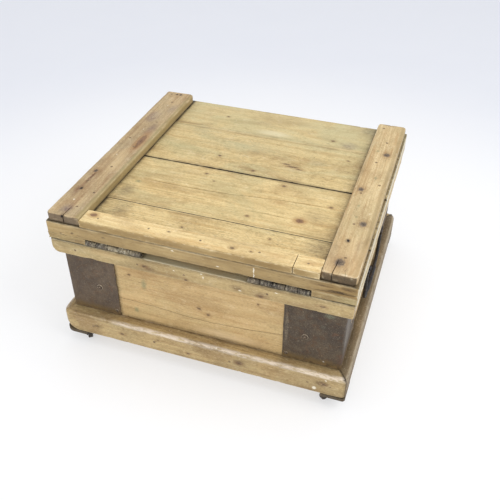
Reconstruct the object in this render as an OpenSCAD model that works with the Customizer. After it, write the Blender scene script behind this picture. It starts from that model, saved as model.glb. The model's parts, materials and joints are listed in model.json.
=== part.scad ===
// Low pine chest on castors.
// A box of single wide boards with rails round the top, a mitred plinth round
// the foot and an iron angle on each corner.  The lid is four boards on a
// frame, tied by two battens and a hinge-side strip, and turns on two long
// butt hinges at the back.  A bail handle hangs on each end.
// Millimetres.  +Z up, floor at z = 0, opening edge towards -Y, hinges on +Y,
// origin on the floor under the middle of the plinth.

/* [Lid] */
// Length of the lid boards, left to right
lid_length = 609.4; // [600:0.2:614]
// Depth of the lid, opening edge to hinge edge
lid_depth = 578; // [576:0.5:580]
// Thickness of the lid boards
lid_board_thick = 27; // [22:0.5:30]
// Thickness of the frame under the lid boards
lid_frame_thick = 14.5; // [14.5:0.5:18]
// Width of the frame members under the lid
lid_frame_width = 60; // [45:1:70]
// Thickness of the battens across the lid
batten_thick = 18; // [14:0.5:22]
// Thickness of the strip along the hinge edge
strip_thick = 14.4; // [10:0.2:14.4]
// Width of the strip along the hinge edge
strip_width = 42; // [30:1:60]
// Gap left where two lid boards have shrunk apart
shrink_gap = 2.2; // [0.5:0.1:4]

/* [Carcass] */
// Outside length of the carcass
body_length = 575.2; // [572:0.2:580]
// Outside depth of the carcass
body_depth = 537; // [536:0.5:538]
// Thickness of the wall boards
wall_thick = 18; // [16:0.5:20]
// Height of the wall boards
wall_height = 240; // [230:1:260]
// Thickness of the bottom boards
bottom_thick = 14; // [10:0.5:18]
// Height of the cleats that carry the bottom boards
cleat_height = 16; // [12:1:24]

/* [Rails and plinth] */
// Height of the rails round the top
rail_height = 32.5; // [26:0.5:40]
// Length over the rails
rail_length = 604.8; // [602:0.2:606]
// Height of the plinth boards
plinth_height = 52; // [40:1:60]
// Length over the plinth
plinth_length = 617; // [615:0.5:620]
// Depth over the plinth
plinth_depth = 590.6; // [590:0.1:594]
// Plan radius of the worn plinth corners
plinth_radius = 18; // [6:1:20]

/* [Corner irons] */
// Thickness of the corner irons
iron_thick = 2.5; // [1.5:0.1:3]
// Width of the irons' front and back legs on the right-hand end
iron_leg_right = 108; // [90:1:125]
// Width of the irons' front and back legs on the left-hand end
iron_leg_left = 117; // [90:1:125]
// Width of the irons' end legs
iron_leg_end = 115; // [90:1:125]

/* [Hinges] */
// Length of each hinge barrel
hinge_length = 117; // [100:1:130]
// Distance of each hinge's middle from the chest's middle
hinge_x = 164; // [150:1:166]
// Outside radius of the hinge barrel
barrel_radius = 5.8; // [5.6:0.1:6]
// Radius of the hinge pin
pin_radius = 2.4; // [2:0.1:2.6]
// Radial clearance of pins and axles
run_gap = 0.05; // [0.03:0.01:0.08]

/* [End handles] */
// Height of the bail's pivot above the floor
bail_pivot_z = 184; // [180:1:190]
// Drop from the pivot to the middle of the grip
bail_drop = 79.5; // [70:0.5:84]
// Radius of the bail's grip
grip_radius = 6; // [5:0.5:6]
// Half the distance between the bail's arms
bail_half = 80; // [78:1:84]

/* [Castors] */
// Height from the floor to the plinth
castor_height = 34; // [34:1:40]
// Radius of the castor wheels
wheel_radius = 10; // [9:0.5:10]
// Width of the castor wheels
wheel_width = 10; // [8:0.5:10]
// Distance of the wheel axle from the swivel axis
trail = 13; // [12:0.5:14]

/* [Hidden] */
$fn = 48;
joint_gap = 0.2;                    // between wooden pieces
fit_gap = 0.05;                     // under screw heads, irons and carcass hinge leaves
drill_length = 20;                  // cutters for screw holes in irons and plates
cut = 1;                            // overrun of a cutter past a face

half_length = body_length / 2;      // outer face of the end boards
half_depth = body_depth / 2;        // outer face of the long boards
half_lid_length = lid_length / 2;
half_lid_depth = lid_depth / 2;
half_rail = rail_length / 2;
half_plinth_length = plinth_length / 2;
half_plinth_depth = plinth_depth / 2;

// heights above the floor
plinth_bottom = castor_height;
plinth_top = plinth_bottom + plinth_height;
carcass_top = plinth_bottom + wall_height;
rail_bottom = carcass_top - rail_height;
frame_bottom = carcass_top + 0.4;
board_bottom = frame_bottom + lid_frame_thick;
board_top = board_bottom + lid_board_thick;
batten_top = board_top + batten_thick;

pine_top = [0.72, 0.60, 0.40];
pine_batten = [0.74, 0.60, 0.42];
pine_side = [0.66, 0.55, 0.36];
pine_pale = [0.80, 0.69, 0.50];
block_brown = [0.36, 0.30, 0.20];
iron_brown = [0.33, 0.28, 0.25];
iron_black = [0.09, 0.08, 0.08];
steel_grey = [0.38, 0.35, 0.31];

// ---- helpers ---------------------------------------------------------
// Throughout, side_x is -1 on the left and 1 on the right,
// and side_y is -1 at the front and 1 at the back.

// box between any two opposite corners
module span(a, b) {
  low = [for (i = [0:2]) min(a[i], b[i])];
  high = [for (i = [0:2]) max(a[i], b[i])];
  translate(low) cube(high - low);
}

// rectangle with half sizes x, y and a radius on each corner, in the order
// back right, back left, front left, front right
module rounded_plan(x, y, radii) {
  corners = [[1, 1], [-1, 1], [-1, -1], [1, -1]];
  difference() {
    square([2 * x, 2 * y], center = true);
    for (k = [0:3]) {
      r = radii[k];
      side = corners[k];
      difference() {
        translate([side.x * (x - r / 2 + cut), side.y * (y - r / 2 + cut)])
          square(r + 2 * cut, center = true);
        translate([side.x * (x - r), side.y * (y - r)]) circle(r);
      }
    }
  }
}

// stands children on a front or back face, their +z outwards
module on_long_face(side_y, x, y, z) {
  translate([x, side_y * y, z]) rotate([-side_y * 90, 0, 0]) children();
}
// stands children on an end face, their +z outwards
module on_end_face(side_x, x, y, z) {
  translate([side_x * x, y, z]) rotate([0, side_x * 90, 0]) children();
}

// round-headed screw or nail, head above z = 0 and shank down -z
module stud(head_r, head_h, shank_r, length) {
  rotate_extrude() polygon([
    [0, -length], [shank_r * 0.5, -length], [shank_r, -length + shank_r * 1.5],
    [shank_r, 0], [head_r, 0], [head_r, head_h * 0.25],
    [head_r * 0.86, head_h * 0.62], [head_r * 0.55, head_h * 0.9],
    [head_r * 0.2, head_h], [0, head_h]]);
}

nail_head = 0.3;  // height of a nail's head, sunk flush with the wood
module nail(head_r, shank_r, length) {
  stud(head_r = head_r, head_h = nail_head, shank_r = shank_r, length = length);
}

// ---- carcass ---------------------------------------------------------

bottom_count = 4;
bottom_half_gap = 0.4;   // each bottom board's share of a joint
cleat_width = 40;
cleat_end_gap = 2;
rail_wear_radius = 16;   // lower right-hand corners of the long rails
mitre_gap = 0.1;         // each plinth board's set-back along the mitre
plinth_radii = [plinth_radius, 6, plinth_radius, plinth_radius];

module long_wall(side_y) {
  color(pine_side)
    span([-half_length, side_y * (half_depth - wall_thick), plinth_bottom],
         [half_length, side_y * half_depth, carcass_top]);
}
module end_wall(side_x) {
  y = half_depth - wall_thick - joint_gap;
  color(pine_side)
    span([side_x * (half_length - wall_thick), -y, plinth_bottom],
         [side_x * half_length, y, carcass_top]);
}
module front_wall_board() { long_wall(-1); }
module back_wall_board() { long_wall(1); }
module left_end_board() { end_wall(-1); }
module right_end_board() { end_wall(1); }

module bottom_boards() {
  x = half_length - wall_thick - joint_gap;
  y = half_depth - wall_thick - joint_gap;
  z = plinth_bottom + cleat_height;
  pitch = 2 * x / bottom_count;
  color(pine_pale) for (k = [0:bottom_count - 1])
    span([-x + k * pitch + bottom_half_gap, -y, z],
         [-x + (k + 1) * pitch - bottom_half_gap, y, z + bottom_thick]);
}
module bottom_cleats() {
  x = half_length - wall_thick - cleat_end_gap;
  y = half_depth - wall_thick;
  color(pine_pale) for (side_y = [-1, 1])
    span([-x, side_y * (y - cleat_width), plinth_bottom],
         [x, side_y * y, plinth_bottom + cleat_height]);
}

// long rails run through; their lower right-hand corners are worn round
module long_rail(side_y) {
  r = rail_wear_radius;
  color(pine_side)
    translate([0, side_y > 0 ? half_lid_depth : -half_depth, 0]) rotate([90, 0, 0])
      linear_extrude(half_lid_depth - half_depth) difference() {
        translate([-half_rail, rail_bottom]) square([rail_length, rail_height]);
        difference() {
          translate([half_rail - r, rail_bottom - cut]) square([r + cut, r + cut]);
          translate([half_rail - r, rail_bottom + r]) circle(r);
        }
      }
}
module end_rail(side_x) {
  y = half_depth - joint_gap;
  color(pine_side)
    span([side_x * half_length, -y, rail_bottom], [side_x * half_rail, y, carcass_top]);
}
module front_rail() { long_rail(-1); }
module back_rail() { long_rail(1); }
module left_rail() { end_rail(-1); }
module right_rail() { end_rail(1); }

// plan of the whole plinth, with its worn corners
module plinth_plan() {
  rounded_plan(half_plinth_length, half_plinth_depth, plinth_radii);
}
// the part of the plinth inside a mitred outline
module plinth_board(outline) {
  color(pine_side) translate([0, 0, plinth_bottom]) linear_extrude(plinth_height)
    intersection() {
      plinth_plan();
      polygon(outline);
    }
}
module long_plinth(side_y) {
  inner_x = half_length - mitre_gap;
  outer_x = half_plinth_length - mitre_gap;
  plinth_board([
    [-inner_x, side_y * half_depth], [inner_x, side_y * half_depth],
    [outer_x, side_y * half_plinth_depth], [-outer_x, side_y * half_plinth_depth]]);
}
module end_plinth(side_x) {
  inner_y = half_depth - mitre_gap;
  outer_y = half_plinth_depth - mitre_gap;
  plinth_board([
    [side_x * half_length, -inner_y], [side_x * half_length, inner_y],
    [side_x * half_plinth_length, outer_y], [side_x * half_plinth_length, -outer_y]]);
}
module front_plinth() { long_plinth(-1); }
module back_plinth() { long_plinth(1); }
module left_plinth() { end_plinth(-1); }
module right_plinth() { end_plinth(1); }

// places of the nails along the rails and plinth boards
rail_nails_x = [-246, -143, 20, 116, 250];
plinth_nails_x = [-232, -70, 96, 238];
end_nails_y = [-210, -70, 70, 210];
plinth_nail_z = plinth_bottom + 24;

// nails through rails and plinth into the walls
module carcass_nails() {
  color(steel_grey) for (side = [-1, 1]) {
    for (x = rail_nails_x)
      on_long_face(side, x, half_lid_depth - nail_head, rail_bottom + 15)
        nail(head_r = 2.6, shank_r = 1.3, length = 34);
    for (x = plinth_nails_x)
      on_long_face(side, x, half_plinth_depth - nail_head, plinth_nail_z)
        nail(head_r = 3, shank_r = 1.5, length = 38);
    for (y = end_nails_y) {
      on_end_face(side, half_rail - nail_head, y, rail_bottom + 16)
        nail(head_r = 2.6, shank_r = 1.3, length = 28);
      on_end_face(side, half_plinth_length - nail_head, y, plinth_nail_z)
        nail(head_r = 3, shank_r = 1.5, length = 34);
    }
  }
}

// ---- corner irons ----------------------------------------------------

iron_end_gap = 0.3;                  // above the plinth and below the rails
iron_screw_seat = iron_thick + 0.15; // underside of the screw heads from the wall

function long_leg(side_x) = side_x > 0 ? iron_leg_right : iron_leg_left;

// screw places on a leg: [distance from the corner, height, big head]
function leg_screws(leg) = [
  [leg * 0.62, plinth_top + 68, true],
  [leg - 9, plinth_top + 12, false],
  [leg - 9, rail_bottom - 12, false]];

// puts children at every screw of one iron, out from the wall by stand_off;
// $big_head tells them which kind of screw it is
module at_iron_screws(side_x, side_y, stand_off) {
  for (screw = leg_screws(long_leg(side_x))) {
    $big_head = screw[2];
    on_long_face(side_y, side_x * (half_length - screw[0]), half_depth + stand_off, screw[1])
      children();
  }
  for (screw = leg_screws(iron_leg_end)) {
    $big_head = screw[2];
    on_end_face(side_x, half_length + stand_off, side_y * (half_depth - screw[0]), screw[1])
      children();
  }
}

// plan of an iron, with the carcass corner at the origin and the legs
// towards -x and -y
module iron_plan(leg) {
  difference() {
    union() {
      translate([-leg, fit_gap]) square([leg, iron_thick]);
      translate([fit_gap, -iron_leg_end]) square([iron_thick, iron_leg_end]);
      intersection() {
        circle(iron_thick + fit_gap);
        square(10);
      }
    }
    intersection() {
      circle(fit_gap);
      square(1);
    }
  }
}

// an L of sheet iron bent round the corner, from plinth to rail
module corner_iron(side_x, side_y) {
  color(iron_brown) difference() {
    translate([0, 0, plinth_top + iron_end_gap])
      linear_extrude(rail_bottom - plinth_top - 2 * iron_end_gap)
        scale([side_x, side_y]) translate([half_length, half_depth])
          iron_plan(long_leg(side_x));
    at_iron_screws(side_x, side_y, stand_off = 0)
      cylinder(r = $big_head ? 2.6 : 1.8, h = drill_length, center = true);
  }
}
module corner_iron_front_left() { corner_iron(-1, -1); }
module corner_iron_front_right() { corner_iron(1, -1); }
module corner_iron_back_left() { corner_iron(-1, 1); }
module corner_iron_back_right() { corner_iron(1, 1); }

module iron_screw(big) {
  if (big) stud(head_r = 6.4, head_h = 2.6, shank_r = 2.2, length = 16);
  else stud(head_r = 3.6, head_h = 1.2, shank_r = 1.4, length = 13);
}
module corner_iron_screws() {
  color(steel_grey) for (side_x = [-1, 1], side_y = [-1, 1])
    at_iron_screws(side_x, side_y, stand_off = iron_screw_seat) iron_screw($big_head);
}

// ---- hinges ----------------------------------------------------------

axis_y = half_lid_depth - 2;
axis_z = carcass_top + 7;
knuckle = hinge_length / 5;
knuckle_gap = 0.15;          // taken off each end of a knuckle
leaf_reach = 18.4;           // from the axis to the leaf's inner edge
leaf_barrel_gap = 0.6;       // between the flat of the leaf and the barrel
hinge_screw_pitch = 42;
hinge_screw_inset = 13;      // from the axis
pin_end = 0.5;               // pin showing past each end of the barrel

// bottom and top of the two kinds of leaf
carcass_leaf_z = [carcass_top + fit_gap, carcass_top + fit_gap + 2.2];
lid_leaf_z = [board_bottom - 0.1 - 2.6, board_bottom - 0.1];

// puts children at the three screws of the hinge centred on middle_x
module at_hinge_screws(middle_x, z) {
  for (k = [-1:1])
    translate([middle_x + k * hinge_screw_pitch, axis_y - hinge_screw_inset, z]) children();
}
// lays children along the hinge axis, starting at x
module on_hinge_axis(x) {
  translate([x, axis_y, axis_z]) rotate([0, 90, 0]) children();
}

// a leaf with its knuckles: three on the carcass, the two between on the lid
module hinge_leaf(middle_x, on_lid) {
  start = middle_x - hinge_length / 2;
  z = on_lid ? lid_leaf_z : carcass_leaf_z;
  color(steel_grey) difference() {
    union() {
      span([start, axis_y - leaf_reach, z[0]],
           [start + hinge_length, axis_y - barrel_radius - leaf_barrel_gap, z[1]]);
      for (k = [on_lid ? 1 : 0:2:4]) {
        x = start + k * knuckle + knuckle_gap;
        length = knuckle - 2 * knuckle_gap;
        span([x, axis_y - barrel_radius - 1, z[0]], [x + length, axis_y, z[1]]);
        on_hinge_axis(x) cylinder(r = barrel_radius, h = length);
      }
    }
    on_hinge_axis(start - cut)
      cylinder(r = pin_radius + run_gap, h = hinge_length + 2 * cut);
    at_hinge_screws(middle_x, z[0] - cut) cylinder(r = 2.1, h = 6);
  }
}
module hinge_leaf_carcass_left() { hinge_leaf(-hinge_x, false); }
module hinge_leaf_carcass_right() { hinge_leaf(hinge_x, false); }
module hinge_leaf_lid_left() { hinge_leaf(-hinge_x, true); }
module hinge_leaf_lid_right() { hinge_leaf(hinge_x, true); }

module hinge_pins() {
  color(steel_grey) for (side_x = [-1, 1])
    on_hinge_axis(side_x * hinge_x - hinge_length / 2 - pin_end)
      cylinder(r = pin_radius, h = hinge_length + 2 * pin_end);
}

module hinge_screw() {
  stud(head_r = 3.4, head_h = 1.3, shank_r = 1.9, length = 16);
}
module hinge_screws_carcass() {
  color(steel_grey) for (side_x = [-1, 1])
    at_hinge_screws(side_x * hinge_x, carcass_leaf_z[1] + fit_gap) hinge_screw();
}
module hinge_screws_lid() {
  color(steel_grey) for (side_x = [-1, 1])
    at_hinge_screws(side_x * hinge_x, lid_leaf_z[0] - fit_gap) mirror([0, 0, 1]) hinge_screw();
}

// ---- end handles -----------------------------------------------------

plate_thick = 2.4;
plate_gap = 0.1;                    // between the back plate and the end board
plate_size = [120, 30];             // the plate's straight part
plate_end_radius = 17;              // its round ends, centred on the lugs
pivot_x = half_length + 8.2;
bail_pin_radius = 2.6;
lug_width = 12;
lug_y = 68;                         // middle of each lug
eye_radius = 4.8;                   // lugs and bail ends round the pivot
eye_width = 8;                      // bail ends
bend_radius = 22;
arm_radius = grip_radius - 2;
handle_screws_y = [-46, 46];
handle_screws_z = [bail_pivot_z - 9, bail_pivot_z + 9];
// half the grip's length to the end of its taper, and of its full thickness
grip_end = 46;
grip_full = 38;

// back plate with two lugs
module handle_plate(side_x) {
  pivot = side_x * pivot_x;
  plate_x = half_length + plate_gap;
  color(iron_black) difference() {
    union() {
      translate([side_x > 0 ? plate_x : -plate_x - plate_thick, 0, 0]) rotate([90, 0, 90])
        linear_extrude(plate_thick) {
          translate([-plate_size.x / 2, bail_pivot_z - plate_size.y / 2]) square(plate_size);
          for (side = [-1, 1])
            translate([side * lug_y, bail_pivot_z]) circle(plate_end_radius);
        }
      for (side = [-1, 1]) translate([0, side * lug_y - lug_width / 2, 0]) {
        translate([pivot, 0, bail_pivot_z]) rotate([-90, 0, 0])
          cylinder(r = eye_radius, h = lug_width);
        span([side_x * (half_length + 1), 0, bail_pivot_z - eye_radius],
             [pivot, lug_width, bail_pivot_z + eye_radius]);
      }
    }
    for (side = [-1, 1]) translate([pivot, side * lug_y, bail_pivot_z]) rotate([90, 0, 0])
      cylinder(r = bail_pin_radius + run_gap, h = lug_width + 2 * cut, center = true);
    for (y = handle_screws_y, z = handle_screws_z)
      translate([side_x * half_length, y, z]) rotate([0, 90, 0])
        cylinder(r = 2.1, h = drill_length, center = true);
  }
}
module handle_plate_left() { handle_plate(-1); }
module handle_plate_right() { handle_plate(1); }

module handle_screws() {
  x = half_length + plate_gap + plate_thick + fit_gap;
  color(iron_black) for (side_x = [-1, 1], y = handle_screws_y, z = handle_screws_z)
    on_end_face(side_x, x, y, z)
      stud(head_r = 4, head_h = 1.8, shank_r = 1.9, length = 17);
}

// round iron bail hanging from the lugs
module handle_bail(side_x) {
  grip_z = bail_pivot_z - bail_drop;
  bend_z = grip_z + bend_radius;
  bend_y = bail_half - bend_radius;
  pin_start = lug_y - lug_width / 2 + 1;
  color(iron_black) translate([side_x * pivot_x, 0, 0]) {
    for (side = [-1, 1]) {
      // arm
      translate([0, side * bail_half, bend_z])
        cylinder(r = arm_radius, h = bail_drop - bend_radius);
      // eye at the top of the arm
      translate([0, side * bail_half - eye_width / 2, bail_pivot_z]) rotate([-90, 0, 0])
        cylinder(r = eye_radius, h = eye_width);
      // pin running inwards through the lug
      translate([0, side * (bail_half + pin_start) / 2, bail_pivot_z]) rotate([90, 0, 0])
        cylinder(r = bail_pin_radius, h = bail_half - pin_start, center = true);
      // bend from arm to grip
      translate([0, side * bend_y, bend_z]) rotate([0, 90, 0])
        rotate([0, 0, side > 0 ? 0 : -90]) rotate_extrude(angle = 90)
          translate([bend_radius, 0]) circle(arm_radius);
    }
    // lower bar, a hair long so that it joins the bends
    translate([0, 0, grip_z]) rotate([90, 0, 0])
      cylinder(r = arm_radius, h = 2 * bend_y + 0.02, center = true);
    // thicker grip
    translate([0, 0, grip_z]) rotate([90, 0, 0]) rotate_extrude() polygon([
      [0, -grip_end], [arm_radius, -grip_end], [grip_radius, -grip_full],
      [grip_radius, grip_full], [arm_radius, grip_end], [0, grip_end]]);
  }
}
module handle_bail_left() { handle_bail(-1); }
module handle_bail_right() { handle_bail(1); }

// ---- castors ---------------------------------------------------------

swivel_inset = [36, 31];            // swivel axis in from the plinth faces
swivel_angle = 53;                  // resting angle of the castors from the x axis
block_thick = 8;
block_size = [50, 52];
top_plate_size = 28;
crown_z = castor_height - block_thick - 2;  // underside of the top plates
castor_screw_offsets = [-10, 10];
stem_radius = 3;
axle_radius = 1.7;
cheek_gap = 0.3;                    // between the wheel and each cheek
cheek_thick = 1.8;
fork_width = wheel_width + 2 * cheek_gap + 2 * cheek_thick;

// puts children on the swivel axis of one castor
module at_swivel(side_x, side_y) {
  translate([side_x * (half_plinth_length - swivel_inset.x),
             side_y * (half_plinth_depth - swivel_inset.y), 0]) children();
}
// the same, turned so that the wheel trails along +x; at rest the wheels trail
// out towards the front or back and in towards the middle of the length
module at_fork(side_x, side_y) {
  yaw = side_x > 0 ? 180 - side_y * swivel_angle : side_y * swivel_angle;
  at_swivel(side_x, side_y) rotate([0, 0, yaw]) children();
}
// lays children's z axis along the axle, centred on the wheel
module on_axle() {
  translate([trail, 0, wheel_radius]) rotate([90, 0, 0]) children();
}

module castor_blocks() {
  color(block_brown) translate([0, 0, plinth_bottom - block_thick])
    linear_extrude(block_thick) intersection() {
      plinth_plan();
      for (side_x = [-1, 1], side_y = [-1, 1])
        translate([side_x * (half_plinth_length - block_size.x / 2),
                   side_y * (half_plinth_depth - block_size.y / 2)])
          square(block_size, center = true);
    }
}

// top plates, each with the headed stem that its fork turns on
module castor_plates() {
  color(iron_black) for (side_x = [-1, 1], side_y = [-1, 1]) at_swivel(side_x, side_y) {
    difference() {
      translate([-top_plate_size / 2, -top_plate_size / 2, crown_z])
        cube([top_plate_size, top_plate_size, 1.95]);
      for (x = castor_screw_offsets, y = castor_screw_offsets)
        translate([x, y, crown_z - cut]) cylinder(r = 1.6, h = 5);
    }
    translate([0, 0, crown_z - 2.8]) cylinder(r = stem_radius, h = 2.9);
    translate([0, 0, crown_z - 3.9]) cylinder(r = 4.4, h = 1.1);
  }
}
module castor_screws() {
  color(iron_black)
    for (side_x = [-1, 1], side_y = [-1, 1], x = castor_screw_offsets, y = castor_screw_offsets)
      at_swivel(side_x, side_y) translate([x, y, crown_z - fit_gap]) mirror([0, 0, 1])
        stud(head_r = 2.6, head_h = 0.9, shank_r = 1.4, length = 14);
}

// side view of a fork cheek, x along the trail and y up
module cheek_outline() {
  polygon([
    [-3, crown_z - 0.6], [6, crown_z - 0.6],
    [trail + 3.4, wheel_radius + 1.5], [trail + 3.4, wheel_radius - 1.5],
    [trail - 3.4, wheel_radius - 1.5], [-4, crown_z - 3]]);
  translate([trail, wheel_radius]) circle(3.8);
}
// swivel fork: crown on the stem and two cheeks down to the axle
module castor_fork(side_x, side_y) {
  cheek_y = (fork_width - cheek_thick) / 2;
  color(iron_black) at_fork(side_x, side_y) difference() {
    union() {
      translate([0, 0, crown_z - 2.6]) cylinder(r = 8.6, h = 2.1);
      for (side = [-1, 1])
        translate([0, side * cheek_y + cheek_thick / 2, 0]) rotate([90, 0, 0])
          linear_extrude(cheek_thick) cheek_outline();
    }
    // room for the stem, for its head, and for the axle
    translate([0, 0, crown_z - 5]) cylinder(r = stem_radius + run_gap, h = 8);
    translate([0, 0, crown_z - 12.6]) cylinder(r = 4.9, h = 10);
    on_axle() cylinder(r = axle_radius + run_gap, h = 40, center = true);
  }
}
module castor_axle(side_x, side_y) {
  color(iron_black) at_fork(side_x, side_y) on_axle() {
    cylinder(r = axle_radius, h = fork_width + 0.2, center = true);
    for (flip = [0, 1]) mirror([0, 0, flip]) translate([0, 0, fork_width / 2 + fit_gap])
      cylinder(r = 2.8, h = 1);
  }
}
// wheel with a hub and rim standing proud of the web
module castor_wheel(side_x, side_y) {
  r = wheel_radius;
  half = wheel_width / 2;
  web = half - 1.2;
  bore = axle_radius + run_gap;
  color(iron_black) at_fork(side_x, side_y) on_axle() rotate_extrude() polygon([
    [bore, -half], [4, -half], [4.6, -web], [r - 3, -web], [r - 2.4, -half],
    [r - 1, -half], [r, -half + 1.4], [r, half - 1.4], [r - 1, half],
    [r - 2.4, half], [r - 3, web], [4.6, web], [4, half], [bore, half]]);
}
module castor_fork_front_left() { castor_fork(-1, -1); }
module castor_fork_front_right() { castor_fork(1, -1); }
module castor_fork_back_left() { castor_fork(-1, 1); }
module castor_fork_back_right() { castor_fork(1, 1); }
module castor_axle_front_left() { castor_axle(-1, -1); }
module castor_axle_front_right() { castor_axle(1, -1); }
module castor_axle_back_left() { castor_axle(-1, 1); }
module castor_axle_back_right() { castor_axle(1, 1); }
module castor_wheel_front_left() { castor_wheel(-1, -1); }
module castor_wheel_front_right() { castor_wheel(1, -1); }
module castor_wheel_back_left() { castor_wheel(-1, 1); }
module castor_wheel_back_right() { castor_wheel(1, 1); }

// ---- lid -------------------------------------------------------------

// joints of the lid boards, from the opening edge to the hinge edge, and half
// the gap at each; the middle joint has shrunk open
lid_joints_y = [-half_lid_depth, -166, 4.5, 178, half_lid_depth];
lid_half_gaps = [0, 0.3, shrink_gap / 2, 0.3, 0];
batten_left_x = [-300.4, -236.4];   // left and right edges
batten_right_x = [231.8, 302.7];
batten_end_inset = 3.5;             // from the lid's front and back edges
batten_radii = [3, 3, 7, 7];
strip_joint_x = -186.6;             // where the two strip pieces meet
strip_joint_half_gap = 0.3;
strip_batten_gap = 0.5;
rebate_x = hinge_x + hinge_length / 2 + 1;  // half length of the hinge rebate
rebate_depth = 20.7;

// board k counts from the opening edge
module lid_board(k) {
  color(pine_top)
    span([-half_lid_length, lid_joints_y[k] + lid_half_gaps[k], board_bottom],
         [half_lid_length, lid_joints_y[k + 1] - lid_half_gaps[k + 1], board_top]);
}
module lid_board_front() { lid_board(0); }
module lid_board_front_middle() { lid_board(1); }
module lid_board_back_middle() { lid_board(2); }
module lid_board_back() { lid_board(3); }

module batten(edges) {
  color(pine_batten) translate([(edges[0] + edges[1]) / 2, 0, board_top])
    linear_extrude(batten_thick)
      rounded_plan((edges[1] - edges[0]) / 2, half_lid_depth - batten_end_inset, batten_radii);
}
module lid_batten_left() { batten(batten_left_x); }
module lid_batten_right() { batten(batten_right_x); }

module strip(left, right) {
  color(pine_batten)
    span([left, half_lid_depth - strip_width, board_top],
         [right, half_lid_depth - 1, board_top + strip_thick]);
}
module lid_strip_long() {
  strip(strip_joint_x + strip_joint_half_gap, batten_right_x[0] - strip_batten_gap);
}
module lid_strip_short() {
  strip(batten_left_x[1] + strip_batten_gap, strip_joint_x - strip_joint_half_gap);
}

module frame_long(side_y) {
  span([-half_lid_length, side_y * (half_lid_depth - lid_frame_width), frame_bottom],
       [half_lid_length, side_y * half_lid_depth, board_bottom]);
}
module frame_end(side_x) {
  y = half_lid_depth - lid_frame_width - joint_gap;
  color(pine_side)
    span([side_x * (half_lid_length - lid_frame_width), -y, frame_bottom],
         [side_x * half_lid_length, y, board_bottom]);
}
module lid_frame_front() { color(pine_side) frame_long(-1); }
// the back member is cut away for the hinges
module lid_frame_back() {
  color(pine_side) difference() {
    frame_long(1);
    span([-rebate_x, half_lid_depth - rebate_depth, frame_bottom - cut],
         [rebate_x, half_lid_depth + cut, board_bottom + cut]);
  }
}
module lid_frame_left() { frame_end(-1); }
module lid_frame_right() { frame_end(1); }

// [x, y] of the nails through each batten and through the strip
batten_nails = [
  [255, 250], [248, 196], [282, 162], [262, 96], [256, 4],
  [282, -30], [258, -118], [266, -226], [286, -268],
  [-268, 236], [-262, 132], [-254, 24], [-284, -16],
  [-262, -104], [-270, -196], [-252, -262]];
strip_nails = [[200, 268], [96, 266], [-8, 268], [-120, 266], [-210, 268]];

module lid_nails() {
  color(steel_grey) {
    for (place = batten_nails) translate([place.x, place.y, batten_top - nail_head])
      nail(head_r = 2.7, shank_r = 1.4, length = 40);
    for (place = strip_nails)
      translate([place.x, place.y, board_top + strip_thick - nail_head])
        nail(head_r = 2.4, shank_r = 1.2, length = 36);
  }
}

// ---- output ----------------------------------------------------------

front_wall_board();
back_wall_board();
left_end_board();
right_end_board();
bottom_boards();
bottom_cleats();
front_rail();
back_rail();
left_rail();
right_rail();
front_plinth();
back_plinth();
left_plinth();
right_plinth();
corner_iron_front_left();
corner_iron_front_right();
corner_iron_back_left();
corner_iron_back_right();
corner_iron_screws();
carcass_nails();
hinge_leaf_carcass_left();
hinge_leaf_carcass_right();
hinge_pins();
hinge_screws_carcass();
handle_plate_left();
handle_plate_right();
handle_screws();
castor_blocks();
castor_plates();
castor_screws();
lid_board_front();
lid_board_front_middle();
lid_board_back_middle();
lid_board_back();
lid_batten_left();
lid_batten_right();
lid_strip_long();
lid_strip_short();
lid_frame_front();
lid_frame_back();
lid_frame_left();
lid_frame_right();
hinge_leaf_lid_left();
hinge_leaf_lid_right();
lid_nails();
hinge_screws_lid();
handle_bail_left();
handle_bail_right();
castor_fork_front_left();
castor_fork_front_right();
castor_fork_back_left();
castor_fork_back_right();
castor_axle_front_left();
castor_axle_front_right();
castor_axle_back_left();
castor_axle_back_right();
castor_wheel_front_left();
castor_wheel_front_right();
castor_wheel_back_left();
castor_wheel_back_right();
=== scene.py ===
"""An old pine chest with a boarded lid, corner irons, hinges, handles and castors.

The chest stands on Z = 0: its right side faces +X, its back, where the hinges are, faces +Y.
Lengths are in millimetres and become metres where a mesh or a node value is written. The scene,
that is the sweep, lights and camera, is in metres.
"""
import bpy
import json
import math
from dataclasses import dataclass
from functools import partial
import numpy as np
from mathutils import Matrix, Vector

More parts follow.
